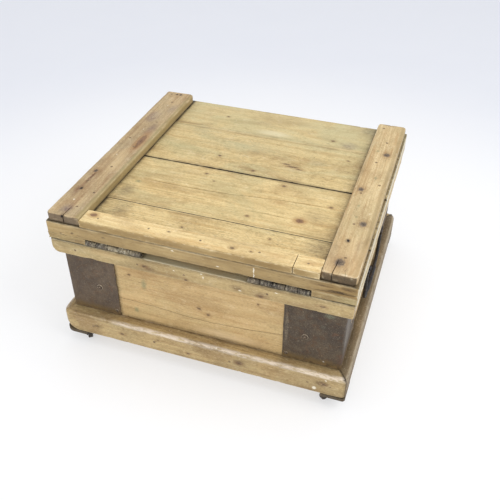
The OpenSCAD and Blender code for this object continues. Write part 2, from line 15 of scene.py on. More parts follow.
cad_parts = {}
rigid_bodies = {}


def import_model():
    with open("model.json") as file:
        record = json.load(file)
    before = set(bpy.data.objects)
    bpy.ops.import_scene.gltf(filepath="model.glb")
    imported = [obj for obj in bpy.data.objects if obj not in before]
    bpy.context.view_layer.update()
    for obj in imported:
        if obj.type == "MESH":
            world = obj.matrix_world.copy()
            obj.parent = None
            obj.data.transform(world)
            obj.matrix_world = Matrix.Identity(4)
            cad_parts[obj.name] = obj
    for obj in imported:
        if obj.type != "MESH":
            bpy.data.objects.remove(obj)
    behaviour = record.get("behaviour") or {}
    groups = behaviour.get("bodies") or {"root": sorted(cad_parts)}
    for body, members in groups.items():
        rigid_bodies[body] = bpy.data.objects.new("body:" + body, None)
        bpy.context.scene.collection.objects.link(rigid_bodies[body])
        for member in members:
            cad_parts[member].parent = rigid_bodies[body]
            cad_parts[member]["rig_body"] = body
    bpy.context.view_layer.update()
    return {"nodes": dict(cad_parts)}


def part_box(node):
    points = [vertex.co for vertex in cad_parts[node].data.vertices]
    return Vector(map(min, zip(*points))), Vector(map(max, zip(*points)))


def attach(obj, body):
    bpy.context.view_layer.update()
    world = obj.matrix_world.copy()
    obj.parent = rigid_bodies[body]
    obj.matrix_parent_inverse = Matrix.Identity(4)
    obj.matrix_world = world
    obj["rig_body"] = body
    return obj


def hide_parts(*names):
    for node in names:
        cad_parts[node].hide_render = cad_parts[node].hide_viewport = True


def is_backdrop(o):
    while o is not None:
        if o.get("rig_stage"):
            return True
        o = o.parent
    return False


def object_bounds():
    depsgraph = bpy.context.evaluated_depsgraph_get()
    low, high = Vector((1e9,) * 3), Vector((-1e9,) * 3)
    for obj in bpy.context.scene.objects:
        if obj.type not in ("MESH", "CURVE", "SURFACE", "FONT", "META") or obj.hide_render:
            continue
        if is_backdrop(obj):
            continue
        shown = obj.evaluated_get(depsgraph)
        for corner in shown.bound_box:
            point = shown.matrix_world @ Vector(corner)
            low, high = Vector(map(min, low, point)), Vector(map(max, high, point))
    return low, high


X, Y, Z = 0, 1, 2
MM = 0.001

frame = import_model()
NODES = frame["nodes"]
BODY = {node: part["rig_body"] for node, part in NODES.items()}
SLOT = {node: (part.data.materials[0].name.split(".")[0] if part.data.materials else None)
        for node, part in NODES.items()}


def rgb(red, green, blue):
    """A colour given as screen values, as linear."""
    def linear(c):
        return c / 12.92 if c <= 0.04045 else ((c + 0.055) / 1.055) ** 2.4
    return (linear(red / 255), linear(green / 255), linear(blue / 255), 1.0)


def sign_of(value):
    return 1 if value > 0 else -1


# ---------------------------------------------------------------- noise for the meshes
def lattice(i, j, k, seed):
    """A repeatable random value from -1 to 1 for each whole-number point."""
    n = (i * 73856093) ^ (j * 19349663) ^ (k * 83492791) ^ (seed * 40503 + 977)
    n = (n & 0xFFFFFFFF).astype(np.uint64)
    n = ((n ^ (n >> np.uint64(15))) * np.uint64(2246822519)) & np.uint64(0xFFFFFFFF)
    n = ((n ^ (n >> np.uint64(13))) * np.uint64(3266489917)) & np.uint64(0xFFFFFFFF)
    n = n ^ (n >> np.uint64(16))
    return n.astype(float) / 4294967295.0 * 2 - 1


def noise(points, seed=0):
    points = np.asarray(points, float)
    cell = np.floor(points).astype(np.int64)
    t = points - cell
    t = t * t * (3 - 2 * t)
    total = np.zeros(len(points))
    for i in (0, 1):
        for j in (0, 1):
            for k in (0, 1):
                weight = ((t[:, 0] if i else 1 - t[:, 0]) * (t[:, 1] if j else 1 - t[:, 1])
                          * (t[:, 2] if k else 1 - t[:, 2]))
                total += weight * lattice(cell[:, 0] + i, cell[:, 1] + j, cell[:, 2] + k, seed)
    return total


def fbm(points, seed=0, octaves=3):
    """Layered noise, each octave twice as fine and half as strong."""
    total, gain, gains = 0.0, 1.0, 0.0
    for i in range(octaves):
        total = total + gain * noise(points * (2 ** i) + 17.3 * i, seed + 31 * i)
        gains += gain
        gain *= 0.5
    return total / gains


def wander(x, y=0.0, z=0.0, seed=0, octaves=3):
    """Layered noise from separate coordinates, any of which may be one number."""
    return fbm(np.stack(np.broadcast_arrays(x, y, z), 1), seed, octaves)


def smooth(value, start, end):
    t = np.clip((value - start) / (end - start), 0, 1)
    return t * t * (3 - 2 * t)


# ---------------------------------------------------------------- boards as meshes
# The twelve edges of a box: "+y-z" is where the +Y and -Z faces meet.
ARRISES = {s + "xyz"[a] + t + "xyz"[b]: (a, int(s + "1"), b, int(t + "1"))
           for a, b in ((X, Y), (X, Z), (Y, Z)) for s in "-+" for t in "-+"}


def grid_box(lines):
    """The surface of a box cut along the given lines on each axis: points and quads."""
    surface = np.zeros([len(line) for line in lines], bool)
    surface[[0, -1]] = True
    surface[:, [0, -1]] = True
    surface[:, :, [0, -1]] = True
    index = -np.ones(surface.shape, np.int64)
    index[surface] = np.arange(surface.sum())
    cells = np.argwhere(surface)
    points = np.stack([lines[axis][cells[:, axis]] for axis in range(3)], 1)
    quads = []
    for sheet, flip in ((index[0], True), (index[-1], False),
                        (index[:, 0], False), (index[:, -1], True),
                        (index[:, :, 0], True), (index[:, :, -1], False)):
        corners = [sheet[:-1, :-1], sheet[1:, :-1], sheet[1:, 1:], sheet[:-1, 1:]]
        if flip:
            corners[1], corners[3] = corners[3], corners[1]
        quads.append(np.stack(corners, -1).reshape(-1, 4))
    return points, np.concatenate(quads)


def grid_lines(low, high, low_radius, high_radius, step, pinned):
    """Cuts along one axis: close together on the rounded edges, even between them."""
    closest = 0.22
    easing = np.array([0, 0.12, 0.3, 0.55, 0.8, 1.0])
    count = max(2, int(round((high - low - low_radius - high_radius) / step)) + 1)
    wanted = [*(low + low_radius * easing), *(high - high_radius * easing),
              *np.linspace(low + low_radius, high - high_radius, count), *pinned]
    wanted = sorted(value for value in wanted if low <= value <= high)
    pinned = {round(value, 4) for value in pinned}
    kept = [wanted[0]]
    for value in wanted[1:]:
        far = value - kept[-1] > closest
        if far or value == high:
            if not far and len(kept) > 1:
                kept.pop()
            kept.append(value)
        elif round(value, 4) in pinned and len(kept) > 1:
            kept[-1] = value
    return np.array(kept)


@dataclass
class Crack:
    """A drying crack: a groove cut into one face, running along one axis."""
    points: list                # (place along, place across)
    width: float
    depth: float
    taper: float                # length over which a closed end dies out
    reach: float                # how far to each side the grid is bent to follow it
    along: int = X
    across: int = Y
    face: int = Z
    sign: int = 1
    open_start: bool = False
    open_end: bool = False
    through: float = 0          # how far down an end face it shows

    @property
    def middle(self):
        return float(np.mean([point[1] for point in self.points]))


def crack_cut(crack, ends, gaps, base, normals, seed):
    """Per point: sideways shift of the grid, depth of the groove, darkness."""
    course = np.array(sorted(crack.points), float)
    run = base[:, crack.along]
    centre = np.interp(run, course[:, 0], course[:, 1])
    centre = centre + 0.5 * wander(run / 9.0, seed=seed + 77, octaves=2)
    off = np.abs(base[:, crack.across] - crack.middle)
    margin = min(abs(crack.middle - ends[side][crack.across]) for side in (-1, 1))
    at_edge = smooth(np.minimum(gaps[-1][:, crack.across], gaps[1][:, crack.across]),
                     0.0, min(14.0, max(2.0, margin - 4 * crack.width)))
    shift = (centre - crack.middle) * smooth(off, crack.reach, 3 * crack.width) * at_edge
    start, end = course[0, 0], course[-1, 0]
    opening = 1.0 if crack.open_start else smooth(run, start, start + crack.taper)
    closing = 1.0 if crack.open_end else smooth(run, end, end - crack.taper)
    uneven = 0.65 + 0.5 * wander(run / 22.0, 1.0, seed=seed + 88, octaves=2)
    strength = np.clip(opening * closing * uneven, 0, 1)
    profile = smooth(off, 0.8 * crack.width, 0.05 * crack.width)
    on_face = normals[:, crack.face] * crack.sign > 0.35
    groove = np.where(on_face, profile * strength * crack.depth, 0)
    dark = np.where(on_face, profile * np.minimum(1, strength * 1.6), 0)
    if crack.through:
        on_end = ((np.abs(normals[:, crack.along]) > 0.5)
                  & (gaps[crack.sign][:, crack.face] < crack.through))
        groove = groove + np.where(on_end, profile * strength * crack.depth * 0.6, 0)
        dark = np.maximum(dark, np.where(on_end, profile, 0))
    return shift, groove, dark


def round_corner(points, ends, arris, radius):
    """A large rounded corner: each square shell of it becomes a quarter circle."""
    a, sign_a, b, sign_b = arris
    centre_a = ends[sign_a][a] - sign_a * radius
    centre_b = ends[sign_b][b] - sign_b * radius
    out_a, out_b = (points[:, a] - centre_a) * sign_a, (points[:, b] - centre_b) * sign_b
    inside = (out_a > 0) & (out_b > 0)
    shell = np.maximum(out_a, out_b)
    length = np.maximum(np.hypot(out_a, out_b), 1e-9)
    points[:, a] = np.where(inside, centre_a + sign_a * shell * out_a / length, points[:, a])
    points[:, b] = np.where(inside, centre_b + sign_b * shell * out_b / length, points[:, b])


def board(low, high, grain, edges=None, radius=1.2, step=(6, 4), cracks=(), wear=1.0,
          chips=1.0, seed=1, wave=0.22, rounded=None, dark_sides=(), mitres=None,
          grime=None, rub=None, dirt=None, bend=None):
    """One board as (points, quads, attributes).

    Worn arrises have their own radius on each edge, the surface is slightly uneven, always
    inwards, and cracks are cut in. step is the grid along and across the grain, edges and
    rounded map ARRISES keys to radii, dark_sides holds (axis, sign, width), mitres the
    darkness of the two ends. The grime, rub and dirt functions turn points into attribute
    values: the grime values are dirt mixed with painted shade, the dirt values painted shade
    in inside corners. bend moves the finished points.
    """
    low, high = np.array(low, float), np.array(high, float)
    ends = {-1: low, 1: high}
    size = high - low
    rounded = rounded or {}
    arrises, side = [], np.zeros((3, 2))
    for key, (a, sign_a, b, sign_b) in ARRISES.items():
        value = min((edges or {}).get(key, radius), 0.48 * min(size[a], size[b]))
        arrises.append((a, sign_a, b, sign_b, value))
        for axis, sign in ((a, sign_a), (b, sign_b)):
            side[axis, (sign + 1) // 2] = max(side[axis, (sign + 1) // 2], value)
    pinned = {X: [], Y: [], Z: []}
    for crack in cracks:
        pinned[crack.across] += [crack.middle + f * crack.width
                                 for f in (-3, -1.5, -0.75, -0.3, 0, 0.3, 0.75, 1.5, 3)]
    for key, value in rounded.items():
        a, sign_a, b, sign_b = ARRISES[key]
        for axis, sign in ((a, sign_a), (b, sign_b)):
            pinned[axis] += [ends[sign][axis] - sign * value * f
                             for f in (0.08, 0.2, 0.35, 0.5, 0.65, 0.8, 1.0)]
    base, quads = grid_box([
        grid_lines(low[axis], high[axis], *side[axis], step[0] if axis == grain else step[1],
                   pinned[axis]) for axis in range(3)])

    # radius at each point, blended from the nearest arrises
    gaps = {-1: np.abs(base - low), 1: np.abs(base - high)}
    weighted, weights = np.zeros(len(base)), np.zeros(len(base))
    near = np.full(len(base), 1e9)
    for a, sign_a, b, sign_b, value in arrises:
        distance = np.hypot(gaps[sign_a][:, a], gaps[sign_b][:, b])
        weight = 1 / (distance + 0.4) ** 5
        weighted += weight * value
        weights += weight
        if not (mitres and grain in (a, b)):
            near = np.minimum(near, distance)
    stretch = np.ones(3)
    stretch[grain] = 0.35
    radii = weighted / weights * (1 + 0.28 * fbm(base * stretch / 14.0, seed + 5)) * 0.86
    radii = np.clip(radii, 0.15, size.min() * 0.48)[:, None]
    core = np.minimum(np.maximum(base, low + radii), high - radii)
    normals = base - core
    normals = normals / np.maximum(np.linalg.norm(normals, axis=1, keepdims=True), 1e-9)
    points = core + normals * radii

    # unevenness, chips and cracks
    inward = (wave * (0.5 + 0.5 * fbm(base * stretch / 55.0, seed + 9))
              + 0.10 * wear * (0.5 + 0.5 * fbm(base * stretch / 5.0, seed + 13)))
    stretch[grain] = 0.45
    chip = (smooth(fbm(base * stretch / 8.0, seed + 21), 0.30, 0.62)
            * smooth(near, 7.0, 0.5))
    inward = inward + chip * 1.1 * chips
    dark = np.zeros(len(base))
    shifts = np.zeros_like(base)
    for crack in cracks:
        shift, groove, shade = crack_cut(crack, ends, gaps, base, normals, seed)
        shifts[:, crack.across] += shift
        inward = inward + groove
        dark = np.maximum(dark, shade)
    points = points - normals * inward[:, None] + shifts
    points = np.minimum(np.maximum(points, low), high)
    for key, value in rounded.items():
        round_corner(points, ends, ARRISES[key], value)

    # the walls of a joint between boards are black with dirt
    for axis, sign, width in dark_sides:
        at_side = smooth(np.minimum(gaps[-1][:, axis], gaps[1][:, axis]), width, width * 0.3)
        dark = np.maximum(dark, np.where(
            (ends[sign][axis] - base[:, axis]) * sign < width + 0.2,
            at_side * (0.85 + 0.5 * fbm(base / 9.0, seed + 60)), 0))
    if mitres:                  # a mitre joint shows as a dark line
        to_low, to_high = gaps[-1][:, grain], gaps[1][:, grain]
        shade = (np.where(to_low < to_high, *mitres)
                 * np.where(base[:, Z] > high[Z] - 4, 1.0, 0.55))
        dark = np.maximum(dark, smooth(np.minimum(to_low, to_high), 1.4, 0.3) * shade)
    if dirt is not None:        # painted shade packed into an inside corner
        dark = np.maximum(dark, dirt(base))
    if bend is not None:
        points = bend(points, base)
    clean = np.zeros(len(base))
    return points, quads, {
        "edge": np.clip(near / 30.0, 0, 1),
        "endg": smooth(np.abs(normals[:, grain]), 0.55, 0.85),
        "dark_lines_and_shade": np.clip(dark, 0, 1),
        "chip": np.clip(chip * chips, 0, 1),
        "grime": clean if grime is None else np.clip(grime(base), 0, 1),
        "rubx": clean if rub is None else np.clip(rub(base), 0, 1),
    }


def join(parts):
    points, faces, attributes, offset = [], [], {}, 0
    for part_points, part_faces, part_attributes in parts:
        points.append(part_points)
        faces.append(part_faces + offset)
        offset += len(part_points)
        for key, values in part_attributes.items():
            attributes.setdefault(key, []).append(values)
    return (np.concatenate(points), np.concatenate(faces),
            {key: np.concatenate(values) for key, values in attributes.items()})


def make(node, data, material, name=None):
    """Builds the mesh that stands in for a CAD node. A repeated corner makes a triangle."""
    points, faces, attributes = data
    name = name or node + "_v"
    mesh = bpy.data.meshes.new(name)
    mesh.from_pydata((points * MM).tolist(), [],
                     [tuple(dict.fromkeys(face)) for face in faces.tolist()])
    mesh.update()
    for key, values in attributes.items():
        attribute = mesh.attributes.new(key, "FLOAT", "POINT")
        attribute.data.foreach_set("value", np.asarray(values, np.float32))
    mesh.polygons.foreach_set("use_smooth", np.ones(len(mesh.polygons), bool))
    mesh.materials.append(material)
    made = bpy.data.objects.new(name, mesh)
    bpy.context.scene.collection.objects.link(made)
    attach(made, BODY[node])
    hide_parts(node)


def box_mm(node):
    low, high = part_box(node)
    return np.array(low) * 1000, np.array(high) * 1000


def vertices_mm(node):
    return np.array([vertex.co for vertex in NODES[node].data.vertices], float) * 1000


def islands(node):
    """The boxes of a node's separate solids, sorted."""
    places = vertices_mm(node)
    numbers = {}
    merged = [numbers.setdefault(tuple(place), len(numbers)) for place in np.round(places, 2)]
    parent = list(range(len(numbers)))

    def root(i):
        while parent[i] != i:
            parent[i] = parent[parent[i]]
            i = parent[i]
        return i
    for polygon in NODES[node].data.polygons:
        corners = [merged[i] for i in polygon.vertices]
        for corner in corners[1:]:
            first, other = root(corners[0]), root(corner)
            if first != other:
                parent[first] = other
    groups = {}
    for i in range(len(places)):
        groups.setdefault(root(merged[i]), []).append(i)
    boxes = [(places[group].min(0), places[group].max(0)) for group in groups.values()]
    return sorted(boxes, key=lambda box: tuple(np.round(box[0], 1)))


# ---------------------------------------------------------------- shaders
class Shader:
    """A Principled material whose colour and bump height are built up in layers.

    A span is the pair of source values between which a layer fades in; it may run downwards.
    """

    def __init__(self, name, colour):
        self.material = bpy.data.materials.new(name)
        self.material.use_nodes = True
        self.tree = self.material.node_tree
        self.tree.nodes.clear()
        self.output = self.tree.nodes.new("ShaderNodeOutputMaterial")
        self.principled = self.tree.nodes.new("ShaderNodeBsdfPrincipled")
        self.put(self.output.inputs[0], self.principled.outputs[0])
        self.place = self.node("TexCoord", output="Object")
        self.colour = colour

    def put(self, socket, value):
        if value is None:
            return
        if isinstance(value, bpy.types.NodeSocket):
            self.tree.links.new(value, socket)
        elif hasattr(socket.default_value, "__len__"):
            count = len(socket.default_value)
            single = isinstance(value, (int, float))
            socket.default_value = [value] * count if single else list(value)[:count]
        else:
            socket.default_value = value

    def node(self, kind, inputs=(), output=0, **settings):
        made = self.tree.nodes.new("ShaderNode" + kind)
        for key, value in settings.items():
            setattr(made, key, value)
        for key, value in inputs.items() if isinstance(inputs, dict) else enumerate(inputs):
            self.put(made.inputs[key], value)
        return made.outputs[output]

    def math(self, operation, a, b=None, clamp=False):
        return self.node("Math", (a, b), operation=operation, use_clamp=clamp)

    def times(self, a, b):
        return self.math("MULTIPLY", a, b)

    def plus(self, a, b):
        return self.math("ADD", a, b)

    def minus(self, a, b):
        return self.math("SUBTRACT", a, b)

    def blend(self, a, b, share):
        """a and b added in the given share of a."""
        return self.plus(self.times(a, share), self.times(b, 1 - share))

    def vector(self, operation, a, b=None):
        return self.node("VectorMath", (a, b), operation=operation,
                         output="Value" if operation == "LENGTH" else "Vector")

    def scale(self, vector, factor):
        return self.node("VectorMath", {0: vector, "Scale": factor}, output="Vector",
                         operation="SCALE")

    def split(self, vector, axis):
        return self.node("SeparateXYZ", (vector,), output=axis)

    def mix(self, factor, a, b, how="MIX"):
        return self.node("Mix", {0: factor, 6: a, 7: b}, output=2, data_type="RGBA",
                         blend_type=how)

    def noise(self, vector, detail=2.0, rough=0.5, distortion=0.0, output=0):
        return self.node("TexNoise", {"Vector": vector, "Scale": 1.0, "Detail": detail,
                                      "Roughness": rough, "Distortion": distortion}, output)

    def noise_1d(self, value, detail=1.0):
        return self.node("TexNoise", {"W": value, "Scale": 1.0, "Detail": detail},
                         noise_dimensions="1D")

    def drift(self, vector, reach, detail=2, rough=0.6):
        """A small random offset, used to fray straight outlines."""
        cloud = self.noise(vector, detail, rough, output="Color")
        return self.scale(self.vector("SUBTRACT", cloud, [0.5, 0.5, 0.5]), reach)

    def cells(self, vector):
        return self.node("TexVoronoi", {"Vector": vector, "Scale": 1.0}, output="Distance")

    def ease(self, value, span, to=(0.0, 1.0)):
        return self.node("MapRange", (value, *span, *to), interpolation_type="SMOOTHSTEP")

    def ramp(self, factor, stops):
        made = self.tree.nodes.new("ShaderNodeValToRGB")
        elements = made.color_ramp.elements
        while len(elements) < len(stops):
            elements.new(0.5)
        for element, (position, colour) in zip(elements, stops):
            element.position = position
            element.color = colour
        self.put(made.inputs[0], factor)
        return made.outputs[0]

    def attribute(self, name):
        return self.node("Attribute", output="Fac", attribute_name=name)

    def nearest(self, place, spots):
        """Smallest distance to any spot (centre, radii), in radii. A radius of 0 leaves
        that axis out."""
        best = None
        for centre, radii in spots:
            inverse = [1000.0 / radius if radius else 0.0 for radius in radii]
            offset = self.vector("SUBTRACT", place, [value * MM for value in centre])
            distance = self.vector("LENGTH", self.vector("MULTIPLY", offset, inverse))
            best = distance if best is None else self.math("MINIMUM", best, distance)
        return best

    def paint(self, mask, colour):
        self.colour = self.mix(mask, self.colour, colour)

    def tint(self, source, span, colour, amount=1.0):
        self.paint(self.ease(source, span, to=(0.0, amount)), colour)

    def lift(self, amount):
        self.height = self.plus(self.height, amount)

    def sink(self, amount):
        self.height = self.minus(self.height, amount)

    def finish(self, rough, bump, distance, specular, metal=0.0):
        inputs = self.principled.inputs
        self.put(inputs["Base Color"], self.colour)
        self.put(inputs["Roughness"], rough)
        self.put(inputs["Metallic"], metal)
        self.put(inputs["Specular IOR Level"], specular)
        self.put(inputs["Normal"], self.node(
            "Bump", {"Strength": bump, "Distance": distance, "Height": self.height}))
        return self.material


def skew(amount):
    return [amount, amount * 1.7, -amount]


class PineShader(Shader):
    """Coordinates and the shared noises of old pine, stretched along the grain."""

    def __init__(self, name, grain, seed, tones, dirt):
        self.light, self.dark, self.mottle = tones
        super().__init__(name, self.light)
        self.grain, self.dirt = grain, dirt
        self.shifted = self.vector("ADD", self.place,
                                   [seed * 1.371, seed * 0.713, seed * 2.137])
        self.frayed = self.vector("ADD", self.place, self.drift(
            self.stretched(110, 260), reach=0.0052, detail=3, rough=0.7))
        self.wobble = self.drift(self.stretched(3.2, 7.0), reach=0.030, detail=1.5, rough=0.5)
        self.broad = self.grained(along=5.5, across=12.0, detail=4, rough=0.6, distortion=0.8)
        self.clouds = self.grained(along=8.0, across=17.0, detail=4, rough=0.62,
                                   distortion=0.6, offset=skew(9.1))
        self.patch = self.grained(along=34.0, across=62.0, detail=5, rough=0.68,
                                  distortion=0.6)
        self.grit = self.grained(along=190.0, across=420.0, detail=4, rough=0.72)

    def stretched(self, along, across, offset=None):
        factors = [across] * 3
        factors[self.grain] = along
        vector = self.vector("MULTIPLY", self.shifted, factors)
        return vector if offset is None else self.vector("ADD", vector, offset)

    def grained(self, along, across, detail=2.0, rough=0.5, distortion=0.0, offset=None):
        return self.noise(self.stretched(along, across, offset), detail, rough, distortion)

    def growth_rings(self, thick, centre, seed, pith, density, knots):
        """Rings round a pith line that runs beside the board and bend round the knots."""
        fine = self.drift(self.stretched(14, 60), reach=0.0034, detail=1.5, rough=0.5)
        core = [value * MM for value in centre]
        core[thick] -= pith * MM
        width = next(axis for axis in range(3) if axis not in (self.grain, thick))
        core[width] += (((seed * 7.31) % 1.0) - 0.5) * 0.05
        keep = [1.0, 1.0, 1.0]
        keep[self.grain] = 0.0
        bent = self.vector("ADD", self.vector("SUBTRACT", self.place, core),
                           self.vector("ADD", self.wobble, fine))
        distance = self.vector("LENGTH", self.vector("MULTIPLY", bent, keep))
        if knots:
            bulge = self.ease(self.nearest(self.frayed, knots), span=(3.8, 0.6))
            distance = self.plus(distance, self.times(bulge, 0.0085))
        return self.noise_1d(self.times(distance, density * 1.35), detail=3.0)

    def lay_grain(self, ring, contrast, mottling):
        """Late wood, streaks, cloudy ageing, grit and fibres."""
        light, dark, mottle, dirt = self.light, self.dark, self.mottle, self.dirt
        late = self.ease(ring, span=(0.44, 0.74))
        fibre = self.grained(along=20, across=900, detail=4, rough=0.7)
        streak = self.grained(along=5.0, across=150, detail=4, rough=0.65, distortion=0.6)
        vary = self.ease(self.grained(along=7.0, across=30.0, offset=skew(3.3)),
                         span=(0.35, 0.65), to=(0.25, 1.0))
        bands = self.grained(along=2.4, across=58.0, detail=3, rough=0.6, distortion=0.5,
                             offset=skew(6.1))
        self.paint(self.times(self.times(late, vary), 0.50 * contrast), dark)
        self.tint(streak, span=(0.44, 0.70), amount=0.66 * contrast, colour=dark)
        self.paint(self.times(self.ease(bands, span=(0.50, 0.70)), 0.42 * contrast),
                   self.mix(0.5, dark, mottle))
        self.tint(streak, span=(0.40, 0.22), amount=0.30 * contrast,
                  colour=self.mix(0.5, light, rgb(238, 222, 180)))
        self.paint(self.times(self.ease(self.broad, span=(0.40, 0.66)), mottling), mottle)
        self.tint(self.clouds, span=(0.48, 0.66), amount=0.60 * dirt,
                  colour=self.mix(0.5, dark, rgb(128, 102, 66)))
        self.tint(self.patch, span=(0.50, 0.70), amount=0.50 * dirt,
                  colour=self.mix(0.55, dark, rgb(108, 94, 68)))
        self.tint(self.patch, span=(0.44, 0.26), amount=0.40,
                  colour=self.mix(0.45, light, rgb(242, 228, 194)))
        self.tint(self.grit, span=(0.49, 0.70), amount=0.56 * dirt, colour=rgb(108, 88, 58))
        self.tint(self.grit, span=(0.46, 0.28), amount=0.32, colour=rgb(242, 230, 198))
        self.tint(fibre, span=(0.46, 0.75), amount=0.34,
                  colour=self.mix(0.35, dark, rgb(96, 74, 48)))
        self.height = self.times(fibre, 0.30)
        self.lift(self.times(late, 0.22))
        self.sink(self.times(self.ease(streak, span=(0.6, 0.8)), 0.30))
        self.sink(self.times(self.ease(self.grit, span=(0.55, 0.75)), 0.25))

    def fade(self, axis, start, end, colour, amount):
        """A different tone towards one end of an axis."""
        along = self.ease(self.split(self.frayed, axis), span=(start * MM, end * MM))
        self.paint(self.times(along, self.ease(self.broad, span=(0.2, 0.7),
                                               to=(0.55 * amount, amount))), colour)

    def ticks(self):
        """Short dirty ticks that lie in the grain."""
        tick = self.cells(self.stretched(52, 430, self.scale(self.wobble, 20.0)))
        where = self.grained(along=10, across=26, offset=skew(5.5))
        mask = self.times(self.ease(tick, span=(0.26, 0.08)),
                          self.ease(where, span=(0.47, 0.61)))
        self.paint(self.times(mask, 0.80 * self.dirt), rgb(74, 54, 34))

    def stain(self, centre, radii, colour, strength):
        distance = self.nearest(self.frayed, [(centre, radii)])
        ragged = self.ease(self.blend(self.patch, self.grit, 0.6), span=(0.34, 0.60),
                           to=(0.30 * strength, strength))
        self.paint(self.times(self.ease(distance, span=(1.25, 0.10)), ragged), colour)

    def dark_knots(self, knots, tones, amount):
        """Soft dark smudges with a harder heart."""
        distance = self.nearest(self.frayed, knots)
        soften = self.ease(self.grit, span=(0.3, 0.7), to=(0.55, 1.0))
        halo = self.ease(distance, span=(3.0, 0.8), to=(0.0, 0.50))
        self.paint(self.times(halo, soften), rgb(138, 102, 64))
        rough = self.grained(along=150, across=300, detail=3, rough=0.7)
        ragged = self.plus(distance, self.times(self.minus(rough, 0.5), 1.1))
        heart = self.ramp(self.times(ragged, 0.7), list(zip((0.0, 0.30, 0.60, 0.85), tones)))
        heart = self.mix(self.ease(self.grit, span=(0.52, 0.66), to=(0.0, 0.55)), heart,
                         self.mix(0.5, tones[2], self.light))
        self.paint(self.times(self.ease(ragged, span=(1.30, 0.55)),
                              self.times(soften, 0.98 * amount)), heart)
        self.sink(self.times(self.ease(distance, span=(1.0, 0.5)), 0.5))

    def red_knots(self, knots):
        """Ringed reddish knots that stand up a little."""
        distance = self.nearest(self.frayed, knots)
        self.tint(distance, span=(2.8, 0.9), amount=0.50, colour=rgb(172, 124, 72))
        rings = self.ease(self.noise_1d(self.times(distance, 7.0)), span=(0.42, 0.6))
        self.paint(self.times(self.ease(distance, span=(2.6, 1.0), to=(0.0, 0.35)), rings),
                   rgb(128, 92, 56))
        heart = self.ramp(self.times(distance, 0.8), [
            (0.0, rgb(104, 76, 56)), (0.35, rgb(140, 106, 78)),
            (0.62, rgb(150, 116, 84)), (0.82, rgb(104, 78, 56))])
        heart = self.mix(self.times(rings, 0.40), heart, rgb(96, 68, 50))
        heart = self.mix(self.ease(self.patch, span=(0.45, 0.65), to=(0.0, 0.5)), heart,
                         rgb(84, 66, 52))
        ragged = self.plus(distance, self.times(self.minus(self.patch, 0.5), 0.9))
        self.tint(ragged, span=(1.25, 0.72), amount=0.92, colour=heart)
        self.lift(self.times(self.ease(distance, span=(1.1, 0.7)), 0.3))

    def small_marks(self):
        """Scattered dark and pale specks, and scratches."""
        dots = self.cells(self.stretched(34, 46))
        where = self.grained(along=8, across=8, detail=1)
        mask = self.times(self.ease(dots, span=(0.085, 0.03)),
                          self.ease(where, span=(0.52, 0.62)))
        self.paint(self.times(mask, 0.65 * self.dirt), rgb(66, 50, 36))
        dots = self.cells(self.stretched(30, 40, [7.7, 3.1, 5.9]))
        where = self.grained(along=6, across=6, detail=1, offset=[3, 9, 1])
        mask = self.times(self.ease(dots, span=(0.060, 0.02)),
                          self.ease(where, span=(0.55, 0.64)))
        self.paint(self.times(mask, 0.6), rgb(240, 232, 212))
        stretch = [900, 26, 300] if self.grain == Y else [34, 900, 300]
        scratches = self.noise(self.vector("MULTIPLY", self.frayed, stretch), detail=2,
                               distortion=0.3)
        self.paint(self.times(self.ease(scratches, span=(0.68, 0.80)), 0.30),
                   rgb(240, 228, 200))

    def rubbed_edges(self, width, wear, colour):
        """Bare arrises with ingrained dirt beside them; returns the rubbed mask."""
        edge = self.attribute("edge")
        broken = self.blend(self.grained(along=26, across=60, detail=4, rough=0.65),
                            self.grit, 0.6)
        fine = self.grained(along=60, across=330, detail=4, rough=0.72, offset=skew(2.2))
        rub = self.times(self.ease(edge, span=(width, 0.0)),
                         self.ease(broken, span=(0.45, 0.62)))
        extra = self.times(self.attribute("rubx"), self.ease(
            self.blend(broken, fine, 0.6), span=(0.42, 0.53), to=(0.10, 1.0)))
        rub = self.math("MAXIMUM", rub, extra)
        self.paint(self.times(rub, wear), colour)
        beside = self.math("ABSOLUTE", self.minus(edge, 0.18))
        self.paint(self.times(self.ease(beside, span=(0.14, 0.0)),
                              self.ease(self.clouds, span=(0.35, 0.65),
                                        to=(0.0, 0.42 * self.dirt))), rgb(104, 86, 58))
        return rub

    def end_grain(self, ring, colour, darkness):
        mask = self.attribute("endg")
        tone = self.mix(self.ease(ring, span=(0.40, 0.62), to=(0.0, darkness)), colour,
                        self.mix(0.6, colour, rgb(84, 62, 42)))
        pores = self.noise(self.vector("MULTIPLY", self.shifted, [260] * 3), detail=4,
                           rough=0.7)
        tone = self.mix(self.ease(pores, span=(0.45, 0.7), to=(0.0, darkness)), tone,
                        rgb(92, 74, 56))
        self.paint(self.times(mask, 0.85), tone)
        self.lift(self.times(self.times(mask, pores), 0.9))

    def nail_holes(self, holes):
        distance = self.nearest(self.frayed, holes)
        self.tint(distance, span=(2.6, 1.0), amount=0.55, colour=rgb(88, 70, 54))
        self.tint(distance, span=(1.15, 0.7), colour=rgb(26, 20, 16))
        self.sink(self.times(self.ease(distance, span=(1.0, 0.6)), 1.6))

    def mesh_dirt_and_shade(self, worn):
        """Grime mixed with painted shade, chips, and cracks, dark joints and painted shadow lines
        carried by the mesh.
        """
        broken = self.ease(self.blend(self.patch, self.grit, 0.5), span=(0.34, 0.60),
                           to=(0.30, 1.0))
        # dirt mixed with painted shade in corners and under ledges
        grime = self.math("MULTIPLY", self.attribute("grime"), broken, clamp=True)
        self.paint(self.times(grime, 0.80), rgb(80, 68, 48))
        self.paint(self.times(self.attribute("chip"), 0.45), self.mix(0.5, worn, self.light))
        # cracks, dark joints and painted shadow lines along the feet of battens and strips
        self.paint(self.attribute("dark_lines_and_shade"), rgb(30, 23, 17))


KNOT_TONES = (rgb(54, 40, 30), rgb(88, 68, 50), rgb(112, 86, 62), rgb(92, 70, 50))


